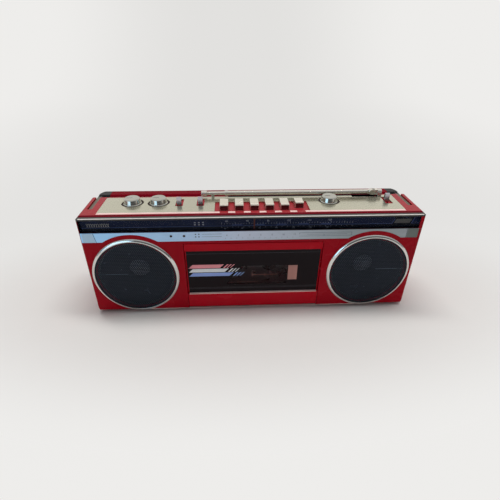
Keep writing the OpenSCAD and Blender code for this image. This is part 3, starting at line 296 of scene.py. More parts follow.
def painted_arm(name, arm_colour, elbow_colour, where):
    """Metallic paint on the handle's arms, darker behind a place along the depth."""
    material = finish(name, arm_colour, 0.4, metal=0.35, specular=0.25, tone=0.08, grain=2000.0,
                      depth=0.000006, edge=0.0005)
    tree = material.node_tree
    shader = tree.nodes["Principled BSDF"]
    light = shader.inputs["Base Color"].links[0].from_socket
    dark = two_tone(tree, noise(tree, coordinates(tree), ELBOW_GRAIN),
                    scaled(elbow_colour, ELBOW_SHADE), elbow_colour)
    step = map_range(tree, axis_value(tree, coordinates(tree), "Y"),
                     (where - ELBOW_BLEND, where + ELBOW_BLEND))
    tree.links.new(mixed(tree, step, light, dark), shader.inputs["Base Color"])
    return material


def spun_metal(name, colour, rough, centre):
    """Polished metal with fine turned rings round an upright axis."""
    material, tree, shader = new_material(name)
    set_uniform(shader, 1.0, 0.5)
    vector = coordinates(tree, (1, 1, 0), (centre.x, centre.y, 0))
    turned = rings(tree, vector, "Z", TURNED_RINGS, TURNED_WAVER)
    smudge = noise(tree, coordinates(tree), SMUDGE_GRAIN)
    tree.links.new(two_tone(tree, smudge, scaled(colour, SMUDGE_SHADE), colour),
                   shader.inputs["Base Color"])
    tree.links.new(spread(tree, smudge, rough - 0.03, rough + 0.04), shader.inputs["Roughness"])
    soft = round_edges(tree, TURNED_EDGE)
    tree.links.new(bump(tree, turned, TURNED_DEPTH, TURNED_STRENGTH, soft),
                   shader.inputs["Normal"])
    return material


def pressed_paper(name, colour, cap_colour, centre):
    """Loudspeaker paper with pressed rings and a glossy cap, round a front-to-back axis."""
    material, tree, shader = new_material(name)
    set_uniform(shader, 0.0, 0.5)
    vector = coordinates(tree, (1, 0, 1), (centre.x, 0, centre.z))
    pressed = rings(tree, vector, "Y", PAPER_RINGS)
    cap = map_range(tree, distance(tree, vector), (CAP_R + CAP_EDGE, CAP_R - CAP_EDGE))
    fibre = noise(tree, coordinates(tree), FIBRE_GRAIN)
    paper = two_tone(tree, fibre, *(scaled(colour, shade) for shade in PAPER_SHADES))
    film = two_tone(tree, fibre, *(scaled(cap_colour, shade) for shade in CAP_SHADES))
    tree.links.new(mixed(tree, cap, paper, film), shader.inputs["Base Color"])
    gloss = tree.nodes.new("ShaderNodeMix")
    tree.links.new(cap, gloss.inputs["Factor"])
    tree.links.new(spread(tree, fibre, *PAPER_GLOSS), gloss.inputs["A"])
    tree.links.new(spread(tree, fibre, *CAP_GLOSS), gloss.inputs["B"])
    tree.links.new(gloss.outputs["Result"], shader.inputs["Roughness"])
    tree.links.new(bump(tree, pressed, PAPER_RING_DEPTH, PAPER_RING_STRENGTH),
                   shader.inputs["Normal"])
    return material


RED = rgb(170, 3, 27)
# The next two reds are painted light: a sheen for faces that look up and a shade for slopes.
RED_TOP_SHEEN = rgb(158, 46, 53)
RED_SLOPE_SHADE = rgb(108, 6, 24)
CHAMPAGNE = rgb(198, 195, 174)
# Painted reflection on the silver strip: bluish at the left where a window's light is reflected,
# greyer to the right.
FOIL_PAINTED_REFLECTION = ((-198.0, rgb(158, 206, 246)), (-90.0, rgb(166, 196, 226)),
              (-10.0, rgb(182, 190, 208)), (60.0, rgb(162, 171, 181)),
              (115.0, rgb(140, 149, 153)), (198.0, rgb(150, 156, 160)))
CHROME = rgb(214, 215, 218)
KNOB_CHROME = rgb(190, 188, 178)
KNOB_ROUGHNESS = 0.1
CONE_PAPER = rgb(30, 32, 38)
CONE_CAP = rgb(124, 130, 138)
ELBOW_Y = 0.066

# The red plastic carries a painted sheen on its upward faces and a painted shade on its slopes.
red_plastic = finish("red_plastic", RED, 0.26, specular=0.08, tone=0.05, grain=900.0,
                     depth=0.000006, edge=0.0006, top_sheen=RED_TOP_SHEEN, slope_shade=RED_SLOPE_SHADE)
red_grip = finish("red_grip", rgb(116, 5, 23), 0.45, specular=0.03, tone=0.07, grain=1600.0,
                  depth=0.00002, edge=0.0006)
# Painted light: the door's red is a brighter copy of the cabinet's red, for light falling on the
# door.
door_red_lit = finish("door_red_lit", rgb(192, 5, 31), 0.24, specular=0.1, tone=0.05, grain=900.0,
                  depth=0.000006, edge=0.0006)
champagne = finish("champagne_metal", CHAMPAGNE, 0.2, metal=0.85, tone=0.03, grain=1500.0,
                   depth=0.000002, stretch=(0.06, 1, 1), edge=0.0005)
key_cap = finish("key_cap", rgb(226, 220, 204), 0.24, metal=0.6, tone=0.04, grain=1500.0,
                 depth=0.000003, edge=0.0005)
chrome = finish("chrome", CHROME, 0.12, metal=1.0, tone=0.03, grain=500.0, rough_spread=0.03,
                depth=0.000001, edge=0.0004)
ring_chrome = finish("ring_chrome", rgb(206, 202, 198), 0.14, metal=1.0, tone=0.05, grain=500.0,
                     rough_spread=0.03, depth=0.000001, edge=0.0004)
antenna_chrome = finish("antenna_chrome", rgb(236, 230, 218), 0.24, metal=0.9, tone=0.05,
                        grain=700.0, rough_spread=0.04, depth=0.000001, stretch=(0.1, 1, 1),
                        edge=0.0003)
silver = foil_with_painted_reflection("brushed_silver", FOIL_PAINTED_REFLECTION)
trim_silver = finish("trim_silver", rgb(66, 63, 60), 0.36, metal=0.5, specular=0.3, tone=0.03,
                     grain=2600.0, depth=0.000004, stretch=(0.03, 1, 1), edge=0.0003)
lens_glass = finish("dial_lens", rgb(9, 15, 32), 0.07, specular=0.12, alpha=0.16, tone=0.05,
                    grain=300.0, rough_spread=0.02, depth=0.000001)
dial_print = finish("dial_print", rgb(11, 20, 42), 0.4, specular=0.2, tone=0.1, grain=900.0,
                    depth=0.000004)
window_glass = finish("window_glass", rgb(40, 12, 18), 0.08, specular=0.25, alpha=0.4, tone=0.06,
                      grain=300.0, rough_spread=0.03, depth=0.000001)
grille_metal = finish("grille_metal", rgb(36, 44, 57), 0.24, metal=0.6, tone=0.15, grain=1200.0,
                      depth=0.000005)
black_plastic = finish("black_plastic", rgb(24, 24, 27), 0.42, specular=0.3, tone=0.15,
                       grain=1800.0, depth=0.00002, edge=0.0004)
arm_paint = painted_arm("arm_paint", rgb(112, 104, 92), rgb(24, 22, 21), FRONT + ELBOW_Y)
dark_grey = finish("dark_grey_metallic", rgb(84, 80, 75), 0.36, metal=0.6, tone=0.08, grain=2000.0,
                   depth=0.000006, edge=0.0006)
rubber = finish("rubber", rgb(26, 26, 26), 0.75, specular=0.3, tone=0.2, grain=1200.0,
                rough_spread=0.08, depth=0.00004, edge=0.0006)
steel = finish("plated_steel", rgb(170, 172, 174), 0.3, metal=1.0, tone=0.06, grain=1500.0,
               depth=0.000005, stretch=(0.1, 1, 1))
brass = finish("turned_brass", rgb(196, 160, 96), 0.26, metal=1.0, tone=0.07, grain=1500.0,
               depth=0.000004)
board = finish("circuit_board", rgb(96, 116, 62), 0.5, tone=0.2, grain=600.0, depth=0.00001)
ferrite = finish("ferrite", rgb(58, 58, 60), 0.6, metal=0.3, tone=0.15, grain=900.0, depth=0.00002)
lamp_lens = finish("lamp_lens", rgb(52, 18, 22), 0.2, alpha=0.9, tone=0.1, grain=900.0)
pointer_orange = finish("pointer_orange", rgb(104, 40, 32), 0.35, tone=0.06, grain=900.0)
mask_print = finish("window_mask", rgb(25, 15, 20), 0.16, specular=0.1, tone=0.1, grain=250.0,
                    rough_spread=0.04, depth=0.000002)
mask_line = finish("mask_line", rgb(64, 62, 72), 0.3, tone=0.08)
pink_print = finish("pink_print", rgb(250, 156, 166), 0.3, tone=0.03)
white_print = finish("white_print", rgb(246, 250, 255), 0.3, tone=0.02)
blue_print = finish("blue_print", rgb(148, 178, 244), 0.3, tone=0.03)
tan_label = finish("tan_label", rgb(186, 130, 120), 0.5, tone=0.08)
dial_band = finish("dial_band", rgb(18, 36, 78), 0.4, specular=0.2, tone=0.08)
dial_line = finish("dial_line", rgb(64, 92, 164), 0.4, tone=0.08)
dial_grey = finish("dial_grey", rgb(104, 106, 104), 0.4, tone=0.06)
hatch_grey = finish("hatch_grey", rgb(176, 178, 172), 0.4, tone=0.06)
dial_white = finish("dial_white", rgb(168, 178, 198), 0.4, tone=0.05)
strip_ink = finish("strip_ink", rgb(58, 66, 82), 0.45, tone=0.08)
strip_shade = finish("strip_shade", rgb(104, 112, 108), 0.4, metal=0.6, tone=0.06)
strip_pale = finish("strip_pale", rgb(166, 194, 216), 0.4, metal=0.7, tone=0.05)
# Painted highlight for the glossy front edge of the top panel.
rim_painted_highlight = finish("rim_painted_highlight", rgb(250, 212, 206), 0.3, metal=0.25, tone=0.02, rough_spread=0.02,
                   depth=0.000001)
lever_chrome = finish("lever_chrome", rgb(186, 186, 192), 0.16, metal=1.0, tone=0.05,
                      depth=0.000001, edge=0.0004)
# Painted highlight along the trim's front edge.
trim_painted_highlight = finish("trim_painted_highlight", rgb(222, 220, 214), 0.3, metal=0.1, tone=0.03)
# Painted highlight for the keys' front edges.
key_lip = finish("key_lip", rgb(246, 236, 224), 0.25, metal=0.3, tone=0.03)
# Painted sheen for the bright streak across the grilles.
grille_painted_sheen = finish("grille_painted_sheen", rgb(92, 106, 118), 0.3, metal=0.5, tone=0.1)
# Painted shade for the keys' front faces.
key_front_shade = finish("key_front_shade", rgb(104, 88, 90), 0.22, metal=0.9, tone=0.08)
# Painted highlight for the lip under the window and the lower front edges.
lip_painted_highlight = finish("lip_painted_highlight", rgb(255, 226, 220), 0.25, specular=0.4, tone=0.02)
# Painted shade for slots and recesses.
recess_painted_shade = finish("recess_painted_shade", rgb(30, 26, 26), 0.5, specular=0.2, tone=0.1)
# Black for the knobs' printed pointer lines, and for sheets of painted shade in the dial pocket,
# round the grilles, in the antenna's trough and under the antenna.
black_print_and_shade = finish("black_print_and_shade", rgb(12, 13, 17), 0.6, specular=0.1, tone=0.1)
# Painted shade round the knobs' bases.
dish_painted_shade = finish("dish_painted_shade", rgb(58, 50, 46), 0.7, specular=0.1, tone=0.15, grain=1800.0)

NODE_FINISH = {
    "front_case": red_plastic, "rear_case": red_plastic, "battery_door": red_plastic,
    "door_frame": door_red_lit, "handle_grip": red_grip, "top_panel": champagne,
    "trim_bar": trim_silver, "scale_strip": silver, "tape_heads": steel,
    "dial_lens": lens_glass, "dial_plate": dial_print, "door_window": window_glass,
    "indicator_lamps": lamp_lens, "dial_pointer": pointer_orange, "speaker_rings": ring_chrome,
    "speaker_frames": dark_grey, "speaker_magnets": ferrite, "ferrite_rod": ferrite,
    "antenna_outer_tube": antenna_chrome, "antenna_middle_tube": antenna_chrome,
    "antenna_tip_rod": antenna_chrome, "antenna_swivel": antenna_chrome,
    "antenna_bracket": antenna_chrome, "handle_arms": arm_paint,
    "function_lever": lever_chrome, "band_lever": lever_chrome, "mode_lever": lever_chrome,
    "battery_contacts": chrome, "cassette_holder": black_plastic, "mains_inlet": black_plastic,
    "headphone_jack": black_plastic, "supply_spindle": black_plastic,
    "takeup_spindle": black_plastic, "slide_switches": red_plastic, "feet": rubber,
    "drive_belt": rubber, "pinch_roller": rubber, "idler_wheel": rubber, "deck_chassis": steel,
    "motor": steel, "potentiometers": steel, "tuning_capacitor": steel, "transformer": steel,
    "case_screws": steel, "head_plate": steel, "flywheel": brass, "motor_pulley": brass,
    "circuit_boards": board,
}
KEYS = ("record_key", "play_key", "rewind_key", "forward_key", "stop_key", "pause_key")
KNOBS = ("volume_knob", "tone_knob", "tuning_knob")
CONES = ("left_cone", "right_cone")


def middle(node):
    low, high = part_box(node)
    return (low + high) / 2


def dress(node, material):
    slots = NODES[node].data.materials
    slots.clear()
    slots.append(material)


def dress_nodes():
    for node, material in NODE_FINISH.items():
        dress(node, material)
    for node in KEYS:
        dress(node, key_cap)
    for node in KNOBS:
        metal = spun_metal(node + "_chrome", KNOB_CHROME, KNOB_ROUGHNESS, middle(node))
        dress(node, metal)
    for node in CONES:
        dress(node, pressed_paper(node + "_paper", CONE_PAPER, CONE_CAP, middle(node)))


# Mesh pieces; sizes are in mm
PRINT_T = 0.04
THIN_T = 0.03
LAYER = 0.01


def add_piece(name, points, faces, material, body):
    mesh = bpy.data.meshes.new(name)
    mesh.from_pydata([tuple(p) for p in points], [], faces)
    mesh.update()
    mesh.materials.append(material)
    piece = bpy.data.objects.new(name, mesh)
    bpy.context.scene.collection.objects.link(piece)
    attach(piece, body)
    return piece


def plate_mesh(outlines, front, back, lift):
    """Flat plates with the given outlines; lift turns (u, v, depth) into a point."""
    points, faces = [], []
    for outline in outlines:
        n, start = len(outline), len(points)
        points += [lift(u, v, front) for u, v in outline]
        points += [lift(u, v, back) for u, v in outline]
        faces.append(list(range(start, start + n)))
        faces.append(list(range(start + 2 * n - 1, start + n - 1, -1)))
        for i in range(n):
            j = (i + 1) % n
            faces.append([start + i, start + n + i, start + n + j, start + j])
    return points, faces


def join(points, faces, more, extra):
    """Adds the points and faces of another mesh."""
    faces += [[i + len(points) for i in face] for face in extra]
    points += more


def flat_section(radii, depths):
    """Corners of a flat ring's section."""
    (inner, outer), (front, back) = radii, depths
    return ((inner, front), (outer, front), (outer, back), (inner, back))


def add_ring(points, faces, centre, section, lift, steps=72):
    """A ring round a centre, with a section of (radius, depth) corners."""
    start, n = len(points), len(section)
    for i in range(steps):
        turn = 2 * math.pi * i / steps
        points += [lift(centre[0] + r * math.cos(turn), centre[1] + r * math.sin(turn), d)
                   for r, d in section]
    for i in range(steps):
        near, far = start + i * n, start + (i + 1) % steps * n
        for k in range(n):
            m = (k + 1) % n
            faces.append([near + k, near + m, far + m, far + k])


def on_front(u, v, depth):
    return place(u, depth, v)


def on_top(u, v, depth):
    return place(u, v, depth)


def across(u, v, depth):
    return place(depth, u, v)


def print_on_front(name, outlines, depth, material, body, thickness=PRINT_T):
    """Flat print on a face that lies at a depth behind the front."""
    points, faces = plate_mesh(outlines, depth - thickness, depth, on_front)
    return add_piece(name, points, faces, material, body)


def flat_on_top(x0, x1, y0, y1, first, second):
    """A level plate between two heights."""
    return plate_mesh([bar(x0, x1, y0, y1)], first, second, on_top)


def bar(x0, x1, z0, z1, lean=0.0):
    """Outline of a bar whose ends lean to the right by a distance."""
    return [(x0, z0), (x1, z0), (x1 + lean, z1), (x0 + lean, z1)]


def bar_row(start, width, pitch, count, z0, z1):
    """Outlines of evenly spaced bars."""
    return [bar(start + pitch * i, start + width + pitch * i, z0, z1) for i in range(count)]


def figure_outlines(text, size, x, z):
    """Outlines of a number, with its middle at x and its foot at z, as faces in mm."""
    curve = bpy.data.curves.new("figure", "FONT")
    curve.body = text
    curve.size = size
    curve.align_x = "CENTER"
    holder = bpy.data.objects.new("figure", curve)
    bpy.context.scene.collection.objects.link(holder)
    bpy.context.view_layer.update()
    mesh = bpy.data.meshes.new_from_object(holder)
    outlines = [[(x + mesh.vertices[i].co.x, z + mesh.vertices[i].co.y) for i in f.vertices]
                for f in mesh.polygons]
    bpy.data.objects.remove(holder)
    bpy.data.curves.remove(curve)
    bpy.data.meshes.remove(mesh)
    return outlines


def print_figures(name, figures, row, depth, material, body):
    """Evenly spaced numbers; a row is (middle of the first, pitch, size, foot)."""
    x, pitch, size, foot = row
    points, faces = [], []
    for i, text in enumerate(figures):
        for outline in figure_outlines(text, size, x + pitch * i, foot):
            start = len(points)
            points += [on_front(u, v, depth) for u, v in outline]
            faces.append(list(range(start, start + len(outline))))
    return add_piece(name, points, faces, material, body)


# Loudspeaker grilles
GRILLE_PITCH = 2.3
GRILLE_HOLE = 0.72
GRILLE_T = 0.6
GRILLE_MARGIN = 0.6
# A dark ring of painted shade round each grille's edge.
GRILLE_SHADE_R = (47.6, 50.0)
GRILLE_SHADE_DEPTH = (-0.2, -0.02)
# A bright bar of painted sheen across each grille.
STREAK_T = 0.35
STREAK_REACH = (9.0, 45.0)
STREAK_RISE = 4.5
STREAK_DEPTH = (-0.08, 0.3)


def hexagon(x, z, radius):
    turns = [math.radians(30 + 60 * i) for i in range(6)]
    return [(x + radius * math.cos(turn), z + radius * math.sin(turn)) for turn in turns]


def add_cell(points, faces, x, z, centre, front):
    outer = GRILLE_PITCH / math.sqrt(3)
    inner = outer * GRILLE_HOLE
    start = len(points)
    for radius, back in ((outer, 0.0), (inner, 0.0), (inner, GRILLE_T)):
        points += [place(centre[0] + u, front + back, centre[1] + v)
                   for u, v in hexagon(x, z, radius)]
    for i in range(6):
        j = (i + 1) % 6
        faces.append([start + i, start + j, start + 6 + j, start + 6 + i])
        faces.append([start + 6 + i, start + 6 + j, start + 12 + j, start + 12 + i])


def add_grilles():
    """Mesh of hexagonal holes, a dark ring of painted shade round it and a bright bar of painted
    sheen across its outer half.
    """
    low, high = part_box("speaker_grilles")
    radius = (high.z - low.z) / 2 / MM
    centre_z = ((low.z + high.z) / 2 - BASE) / MM
    centre_x = high.x / MM - radius
    row_step = GRILLE_PITCH * math.sqrt(3) / 2
    rows = int(radius / row_step) + 1
    front = (low.y - FRONT) / MM
    points, faces, shade_points, shade_faces = [], [], [], []
    for centre in ((-centre_x, centre_z), (centre_x, centre_z)):
        for row in range(-rows, rows + 1):
            for column in range(-rows, rows + 1):
                x = (column + 0.5 * (row % 2)) * GRILLE_PITCH
                z = row * row_step
                if math.hypot(x, z) < radius - GRILLE_PITCH * GRILLE_MARGIN:
                    add_cell(points, faces, x, z, centre, front)
        add_ring(shade_points, shade_faces, centre, flat_section(GRILLE_SHADE_R, GRILLE_SHADE_DEPTH), on_front)
    piece = add_piece("perforated_grilles", points, faces, grille_metal, "cabinet")
    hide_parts("speaker_grilles")
    add_piece("grille_edge_shade", shade_points, shade_faces, black_print_and_shade, "cabinet")
    near, far = STREAK_REACH
    z = centre_z + STREAK_RISE
    sheen_streaks = [bar(-centre_x - far, -centre_x - near, z, z + STREAK_T),
               bar(centre_x + near, centre_x + far, z, z + STREAK_T)]
    points, faces = plate_mesh(sheen_streaks, front + STREAK_DEPTH[0], front + STREAK_DEPTH[1], on_front)
    add_piece("grille_sheen_streaks", points, faces, grille_painted_sheen, "cabinet")


# Dial and silver strip; rows of bars are (start, width, pitch, count, foot, top)
DIAL_FACE = 4.98
DIAL_MID = 117.2
DIAL_TOP = 128.0
DIAL_END = 197.6
BLOCK_LEFT = (163.2, 166.4)
BLOCK_RIGHT = (187.0, 190.2)
DIAL_LINES = ((-DIAL_END, 163.4, DIAL_MID - 0.25, DIAL_MID + 0.25),
              (187.0, DIAL_END, DIAL_MID - 0.2, DIAL_MID + 0.2))
DIAL_SLANTS = ((163.2, 163.9, DIAL_MID, 123.4, 2.4), (186.6, 187.6, DIAL_MID, 124.4, 2.4))
DIAL_BLOCK = (165.6, 184.6, DIAL_MID + 0.5, 123.0, 2.2)
DIAL_DASHES = (-26.0, 12.0, 26.0, 5, 118.2, 119.0)
HATCH = (-191.0, 0.6, 1.3, 20, 118.0, 122.4)
HATCH_LEAN = 1.6
TICKS_UPPER = (-38.0, 0.4, 3.2, 49, 119.4, 120.6)
LONG_TICK_TOP = 121.6
LONG_TICK_STEP = 5
TICKS_LOWER = (-38.0, 0.4, 6.4, 25, 115.0, 116.2)
SQUARES_X = (-69.5, -64.8, -60.1)
SQUARE_W = 1.9
SQUARES_Z = ((121.4, 122.9), (118.6, 120.1))
FIGURES_UPPER = ("88", "92", "96", "100", "104", "108")
UPPER_ROW = (-32, 24, 3.2, 122.2)
FIGURES_LOWER = ("54", "60", "70", "80", "100", "130", "160")
LOWER_ROW = (-34, 20, 2.4, 113.2)
POCKET_SHADE_Z = (112.72, 112.8, 128.2, 128.28)
POCKET_SHADE_DEPTH = (2.05, 4.95)
POCKET_SHADE_SIDE = 1.1
TRIM_LINE_Y = (0.85, 2.9)
TRIM_LINE_Z = (129.85, 129.79)
CHEEKS = ((194.6, 198.4, 112.75, 128.25), (195.6, 198.4, 100.6, 112.6))
STRIP_FACE = -0.005
STRIP_Z = (100.8, 112.4)
STRIP_END = 196.6
STRIP_BARS = (
    (-182.4, -181.8, 100.7, 112.5, -2.2), (181.4, 181.9, 100.7, 112.5, 0.4),
    (-61, -38, 109.4, 109.75), (-61, -38, 106.0, 106.35),
    (-69.0, -67.4, 108.9, 110.3), (-69.0, -67.4, 105.5, 106.9),
    (-65.2, -63.6, 108.9, 110.3), (-65.2, -63.6, 105.5, 106.9),
    (53, 115, 109.2, 109.5), (53, 115, 104.8, 105.1), (62, 110, 107.0, 107.25),
    (115, 115.4, 104.8, 109.5), (53, 53.4, 107.4, 109.5), (82, 82.4, 104.8, 107.2),
)
STRIP_TICKS = (-34.0, 0.4, 6.6, 13, 103.2, 104.4)
STRIP_FIGURES = ("0", "2", "4", "6", "8", "10", "12")
STRIP_ROW = (-32, 13.2, 3.0, 106.6)
END_BLOCK_X = (182.2, 182.6)
LEFT_BLOCK_X = (-182.8, -185.0)


def add_dial_print():
    """Bands, lines, ticks and plain numbers on the dial plate."""
    upper = [[(-DIAL_END, DIAL_MID), (BLOCK_LEFT[0], DIAL_MID), (BLOCK_LEFT[1], DIAL_TOP),
              (-DIAL_END, DIAL_TOP)],
             [(BLOCK_RIGHT[0], DIAL_MID), (DIAL_END, DIAL_MID), (DIAL_END, DIAL_TOP),
              (BLOCK_RIGHT[1], DIAL_TOP)]]
    print_on_front("dial_band", upper, DIAL_FACE, dial_band, "cabinet", THIN_T)
    left, right = DIAL_LINES
    lines = [bar(*line) for line in (left, *DIAL_SLANTS, right)] + bar_row(*DIAL_DASHES)
    print_on_front("dial_lines", lines, DIAL_FACE - 4 * LAYER, dial_line, "cabinet")
    start, width, pitch, count, foot, top = HATCH
    hatch = [bar(start + pitch * i, start + width + pitch * i, foot, top, HATCH_LEAN * (-1) ** i)
             for i in range(count)]
    print_on_front("dial_hatch", hatch, DIAL_FACE - 3 * LAYER, hatch_grey, "cabinet")
    print_on_front("dial_block", [bar(*DIAL_BLOCK)], DIAL_FACE - 3 * LAYER, dial_grey, "cabinet")
    start, width, pitch, count, foot, top = TICKS_UPPER
    ticks = [bar(start + pitch * i, start + width + pitch * i, foot,
                 top if i % LONG_TICK_STEP else LONG_TICK_TOP) for i in range(count)]
    ticks += bar_row(*TICKS_LOWER)
    ticks += [bar(x, x + SQUARE_W, foot, top) for x in SQUARES_X for foot, top in SQUARES_Z]
    print_on_front("dial_ticks", ticks, DIAL_FACE - 5 * LAYER, dial_white, "cabinet")
    for name, figures, row in (("dial_figures_upper", FIGURES_UPPER, UPPER_ROW),
                               ("dial_figures_lower", FIGURES_LOWER, LOWER_ROW)):
        print_figures(name, figures, row, DIAL_FACE - 6 * LAYER, dial_white, "cabinet")


def add_dial_liner():
    """Black sheets of painted shade over the dial pocket's walls, a painted highlight along the
    trim's front edge, red margins at the right ends.
    """
    # Painted shade: black sheets over the walls of the dial pocket.
    foot, low, high, top = POCKET_SHADE_Z
    outlines = [bar(-DIAL_END, DIAL_END, foot, low), bar(-DIAL_END, DIAL_END, high, top)]
    outlines += [bar(side * DIAL_END, side * (DIAL_END + POCKET_SHADE_SIDE), low, high)
                 for side in (-1, 1)]
    points, faces = plate_mesh(outlines, *POCKET_SHADE_DEPTH, on_front)
    add_piece("dial_pocket_shade", points, faces, black_print_and_shade, "cabinet")
    # Painted highlight along the trim's front edge.
    points, faces = flat_on_top(-DIAL_END, DIAL_END, *TRIM_LINE_Y, *TRIM_LINE_Z)
    add_piece("trim_edge_highlight", points, faces, trim_painted_highlight, "cabinet")
    print_on_front("dial_cheek", [bar(*cheek) for cheek in CHEEKS], STRIP_FACE - 3 * LAYER,
                   red_plastic, "cabinet")


def add_strip_print():
    """Marks and plain numbers on the silver strip, and the blocks at its ends."""
    marks = [bar(*mark) for mark in STRIP_BARS] + bar_row(*STRIP_TICKS)
    print_on_front("strip_marks", marks, STRIP_FACE, strip_ink, "cabinet", THIN_T)
    print_figures("strip_figures", STRIP_FIGURES, STRIP_ROW, STRIP_FACE - 3 * LAYER, strip_ink,
                  "cabinet")
    foot, top = STRIP_Z
    shade = [[(END_BLOCK_X[0], foot), (STRIP_END, foot), (STRIP_END, top), (END_BLOCK_X[1], top)]]
    print_on_front("strip_end_block", shade, STRIP_FACE, strip_shade, "cabinet", THIN_T)
    pale = [[(-STRIP_END, foot), (LEFT_BLOCK_X[0], foot), (LEFT_BLOCK_X[1], top),
             (-STRIP_END, top)]]
    print_on_front("strip_left_block", pale, STRIP_FACE, strip_pale, "cabinet", THIN_T)


# Window of the cassette door
WINDOW_FACE = 2.49
WINDOW = (-81.5, 81.5, 24.0, 86.5)
CLEAR = (-34.0, 42.0, 35.5, 63.0)
CLEAR_LEAN = 18.0
MASK_LINES = ((29.6, 29.9), (81.2, 81.5), (31.2, 31.4))
LIP_HALF = 81.4
LIP_Y = (0.25, 2.4)
LIP_Z = (23.72, 23.82)
LIP_LINE_Z = (22.8, 23.6)
BASE_LINE_Z = (0.5, 1.2)
DOOR_HALF = 85.6
BASE_LINE_X = (87.0, 140.0)
GAUGE = ((-2, 30, 49.4, 49.8), (-2, -1.6, 46.5, 52.7), (14, 14.4, 47.4, 51.8))
GAUGE_DOTS = (-20.0, 0.8, 3.0, 9, 38.6, 39.4)
LABEL = (43.2, 54.8, 41.0, 62.6)
STRIPE_H = 5.2
STRIPE_START = WINDOW[0] + 1.2
STRIPE_TAILS = 3
TAIL_GAP = 4
TAIL_PITCH = 4.2
TAIL_W = 2
TAIL_TAPER = 0.4
STRIPES = (("pink_bars", pink_print, 60.6, -42.0), ("white_bars", white_print, 54.6, -36.0),
           ("blue_bars", blue_print, 48.6, -30.0))


def add_window_mask():
    """Black print on the window, open in the middle."""
    x0, x1, z0, z1 = WINDOW
    c0, c1, d0, d1 = CLEAR
    outlines = [
        [(x0, z0), (x1, z0), (x1, d0), (x0, d0)],
        [(x0, d1), (x1, d1), (x1, z1), (x0, z1)],
        [(x0, d0), (c0, d0), (c0 + CLEAR_LEAN, d1), (x0, d1)],
        [(c1, d0), (x1, d0), (x1, d1), (c1, d1)],
    ]
    print_on_front("window_mask", outlines, WINDOW_FACE, mask_print, "cassette_door")
    lines = [bar(x0, x1, foot, top) for foot, top in MASK_LINES]
    print_on_front("window_lines", lines, WINDOW_FACE - 4 * LAYER, mask_line, "cassette_door")


def add_edge_highlights():
    """Painted highlights: a bright lip under the window, and a pale line along the cabinet's lower
    front edge where its rounded edge reflects the floor.
    """
    points, faces = flat_on_top(-LIP_HALF, LIP_HALF, *LIP_Y, *LIP_Z)
    add_piece("window_lip_highlight", points, faces, lip_painted_highlight, "cassette_door")
    print_on_front("door_lip_highlight", [bar(-LIP_HALF, LIP_HALF, *LIP_LINE_Z)], STRIP_FACE, lip_painted_highlight,
                   "cassette_door")
    print_on_front("door_base_highlight", [bar(-DOOR_HALF, DOOR_HALF, *BASE_LINE_Z)], STRIP_FACE,
                   lip_painted_highlight, "cassette_door")
    near, far = BASE_LINE_X
    sides = [bar(-far, -near, *BASE_LINE_Z), bar(near, far, *BASE_LINE_Z)]
    print_on_front("base_edge_highlight", sides, STRIP_FACE, lip_painted_highlight, "cabinet")


def add_window_print():
    """Tape gauge, label and bars of three colours."""
    gauge = [bar(*line) for line in GAUGE] + bar_row(*GAUGE_DOTS)
    print_on_front("tape_gauge", gauge, WINDOW_FACE - 2 * LAYER, tan_label, "cassette_door",
                   THIN_T)
    print_on_front("tan_label", [bar(*LABEL)], WINDOW_FACE - 4 * LAYER, tan_label, "cassette_door")
    for name, material, z, end in STRIPES:
        outlines = [bar(STRIPE_START, end, z, z + STRIPE_H, STRIPE_H)]
        for i in range(STRIPE_TAILS):
            x = end + TAIL_GAP + TAIL_PITCH * i
            outlines.append(bar(x, x + TAIL_W - TAIL_TAPER * i, z, z + STRIPE_H, STRIPE_H))
        print_on_front(name, outlines, WINDOW_FACE - 5 * LAYER, material, "cassette_door")


# Top of the cabinet
DECK = 131.0
RIM_END = 180.0
RIM_Y = (10.4, 14.9)
RIM_RISE = (0.4, 0.1)
DISH_SHADE_R = (11.25, 13.05)
DISH_SHADE_Z = (130.35, 130.2)
TROUGH_X = (128.4, 160.4)
TROUGH_Y = (54.2, 61.8)
TROUGH_Z = (128.22, 128.34)
TROUGH_WALL = 0.7
# Painted shadow of the antenna on the deck.
ANTENNA_SHADOW = (-30.0, 128.0, 58.6, 61.8)
ANTENNA_SHADOW_T = 0.12
KEY_MARGIN = 0.5
KEY_FACE_Z = (129.2, 134.7)
KEY_FACE_T = 0.12
KEY_LIP_Y = (0.9, 2.6)
KEY_LIP_RISE = (0.05, -0.02)
MARK_X = (-5.8, 0.8)
MARK_HALF = 0.42
MARK_SINK = (0.5, 0.3)


def add_rim_highlight():
    """Painted highlight: a bright bar along the panel's front edge standing for the reflection on
    its glossy edge, left open in front of each key where the keys' reflections fall.
    """
    y0, y1 = RIM_Y
    profile = [[(y0, DECK), (y1, DECK), (y1, DECK + RIM_RISE[1]), (y0, DECK + RIM_RISE[0])]]
    boxes = [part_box(node) for node in KEYS]
    starts = [-RIM_END] + [high.x / MM for _, high in boxes]
    ends = [low.x / MM for low, _ in boxes] + [RIM_END]
    points, faces = [], []
    for start, end in zip(starts, ends):
        join(points, faces, *plate_mesh(profile, start, end, across))
    add_piece("panel_rim_highlight", points, faces, rim_painted_highlight, "cabinet")


def add_dish_shade():
    """Dark rings of painted shade in the knobs' dishes, round the knobs' bases."""
    points, faces = [], []
    for node in KNOBS:
        centre = middle(node)
        add_ring(points, faces, (centre.x / MM, (centre.y - FRONT) / MM),
                 flat_section(DISH_SHADE_R, DISH_SHADE_Z), on_top)
    add_piece("dish_shade_rings", points, faces, dish_painted_shade, "cabinet")


